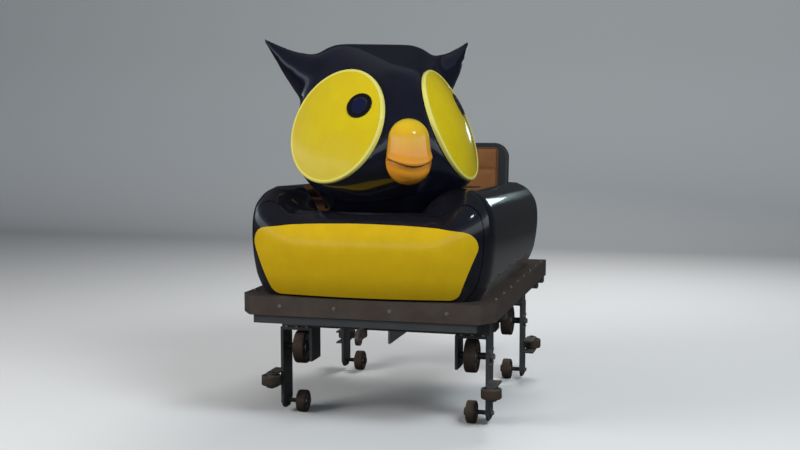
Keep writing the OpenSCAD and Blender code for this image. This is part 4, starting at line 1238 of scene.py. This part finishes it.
def piping_bm(nearest, low, high, up, height):
    """A cord round the cushion's side, on the surface at the seam's height along the up axis."""
    a, b = [i for i in range(3) if i != up]
    spots = []
    for t in np.linspace(0, math.tau, PIPING_POINTS, endpoint=False):  # round a rounded rectangle
        p = (Vector(low) + Vector(high)) / 2
        for axis, turn in ((a, math.cos(t)), (b, math.sin(t))):
            p[axis] += (high[axis] - low[axis]) / 2 * math.copysign(abs(turn) ** SUPERELLIPSE, turn)
        p[up] = height
        place, normal, _, _ = nearest.find_nearest(p)
        away = p - place
        away = away.normalized() if away.length > 1e-6 else normal
        spots.append(place + away * PIPING_R * PIPING_SUNK)
    bm = bmesh.new()
    loops = []
    for before, spot, after in zip(spots[-1:] + spots[:-1], spots, spots[1:] + spots[:1]):
        way = after - before
        third = way.cross([1.0 if k == up else 0.0 for k in range(3)]).normalized()
        turn = Matrix((third.cross(way).normalized(), third, way.normalized())).transposed().to_4x4()
        loops.append(edges_of(bmesh.ops.create_circle(
            bm, segments=8, radius=PIPING_R, matrix=Matrix.Translation(spot) @ turn)["verts"]))
    bridged(bm, loops, around=True)
    faced(bm)
    return bm


# %% The two cushions
SMALLER, CUSHION_ROUND, PINNED_BELOW, OVER_SEAM, SEAM_SHARE = 0.007, 0.018, 0.010, 0.004, 0.70
CHANNEL = ((0.010, 0.007), (0.004, 0.022))  # depth and width of its crease, and of the hollow round it


def cushion(name, low, high, place, up, channels, stands_for):
    """A cushion between two corners in its own axes.

    Its outer face is the high side of the up axis, and the channels, (axis, position), are
    the seams that are pressed into that face.
    """
    base, thick = low[up], high[up] - low[up]
    inner_low = Vector([x + SMALLER for x in low])
    inner_high = Vector([x - SMALLER for x in high])
    inner_low[up], inner_high[up] = base, high[up] - SWELL
    mesh = inflated(box_bm(inner_low, inner_high, CUSHION_ROUND, 4), name,
                    lambda p: p[up] < base + PINNED_BELOW)
    soft = bmesh.new()
    soft.from_mesh(mesh)
    bpy.data.meshes.remove(mesh)
    for v in soft.verts:
        share = (v.co[up] - base) / thick
        for axis, position in channels:
            off = abs(v.co[axis] - position)
            pressed = sum(depth * hump(off, width) for depth, width in CHANNEL)
            v.co[up] -= pressed * max(0.0, share) ** 2
        v.co[up] = min(v.co[up], high[up] + OVER_SEAM)
    for _ in range(2):
        smoothed(soft, soft.verts, 0.4)
    piping = piping_bm(BVHTree.FromBMesh(soft), low, high, up, base + thick * SEAM_SHARE)
    moved(soft, place)
    moved(piping, place)
    pad = finish_piece(soft, name, VINYL, "car", stands_for)
    finish_piece(piping, name + "_piping", THREAD, "car")
    return len(pad.data.polygons)


seat_low = (BACK_X + 0.012, -CUSHION_Y, SEAT_TOP)
seat_high = (SEAT_FRONT - 0.008, CUSHION_Y, SEAT_TOP + CUSHION_T)
seat_faces = cushion("seat_pad", seat_low, seat_high, Matrix.Identity(4), 2,
                     [(1, 0.0), (0, seat_low[0] + 0.10), (0, seat_low[0] + 0.20)], ["seat_cushion"])
back_low, back_high = (0.0, -CUSHION_Y, CUSHION_T + 0.014), (CUSHION_T, CUSHION_Y, BACK_L - 0.020)
back_faces = cushion("back_pad", back_low, back_high, on_back, 0,
                     [(1, 0.0), (2, back_low[2] + 0.12), (2, back_low[2] + 0.24)], ["back_cushion"])
print("cushion faces", seat_faces, back_faces)

# %% The foam sleeve on the lap bar
BAR_CROSS, SLEEVE_R, SLEEVE_HALF, TUBE_R = (-0.190, 0.960), 0.035, 0.300, 0.016
GROOVE_STEP, GROOVE_R = 0.060, SLEEVE_R - 0.0022
profile = [(TUBE_R + 0.0003, -SLEEVE_HALF), (SLEEVE_R - 0.008, -SLEEVE_HALF),
           (SLEEVE_R - 0.002, -SLEEVE_HALF + 0.003), (SLEEVE_R, -SLEEVE_HALF + 0.010)]
ends = [(r, -y) for r, y in profile[::-1]]
for y in np.arange(-SLEEVE_HALF + GROOVE_STEP, SLEEVE_HALF - 0.050, GROOVE_STEP):  # moulded grooves
    profile += [(SLEEVE_R, y - 0.004), (GROOVE_R, y - 0.0012), (GROOVE_R, y + 0.0012),
                (SLEEVE_R, y + 0.004)]
sleeve = lathed([(BAR_CROSS[0] + r, y, BAR_CROSS[1]) for r, y in profile + ends],
                (BAR_CROSS[0], 0, BAR_CROSS[1]), (0, 1, 0), 64)
sleeve_piece = finish_piece(sleeve, "lap_bar_sleeve", FOAM, "lap_bar", ["lap_bar_pad"], 40)
print("sleeve faces", len(sleeve_piece.data.polygons))
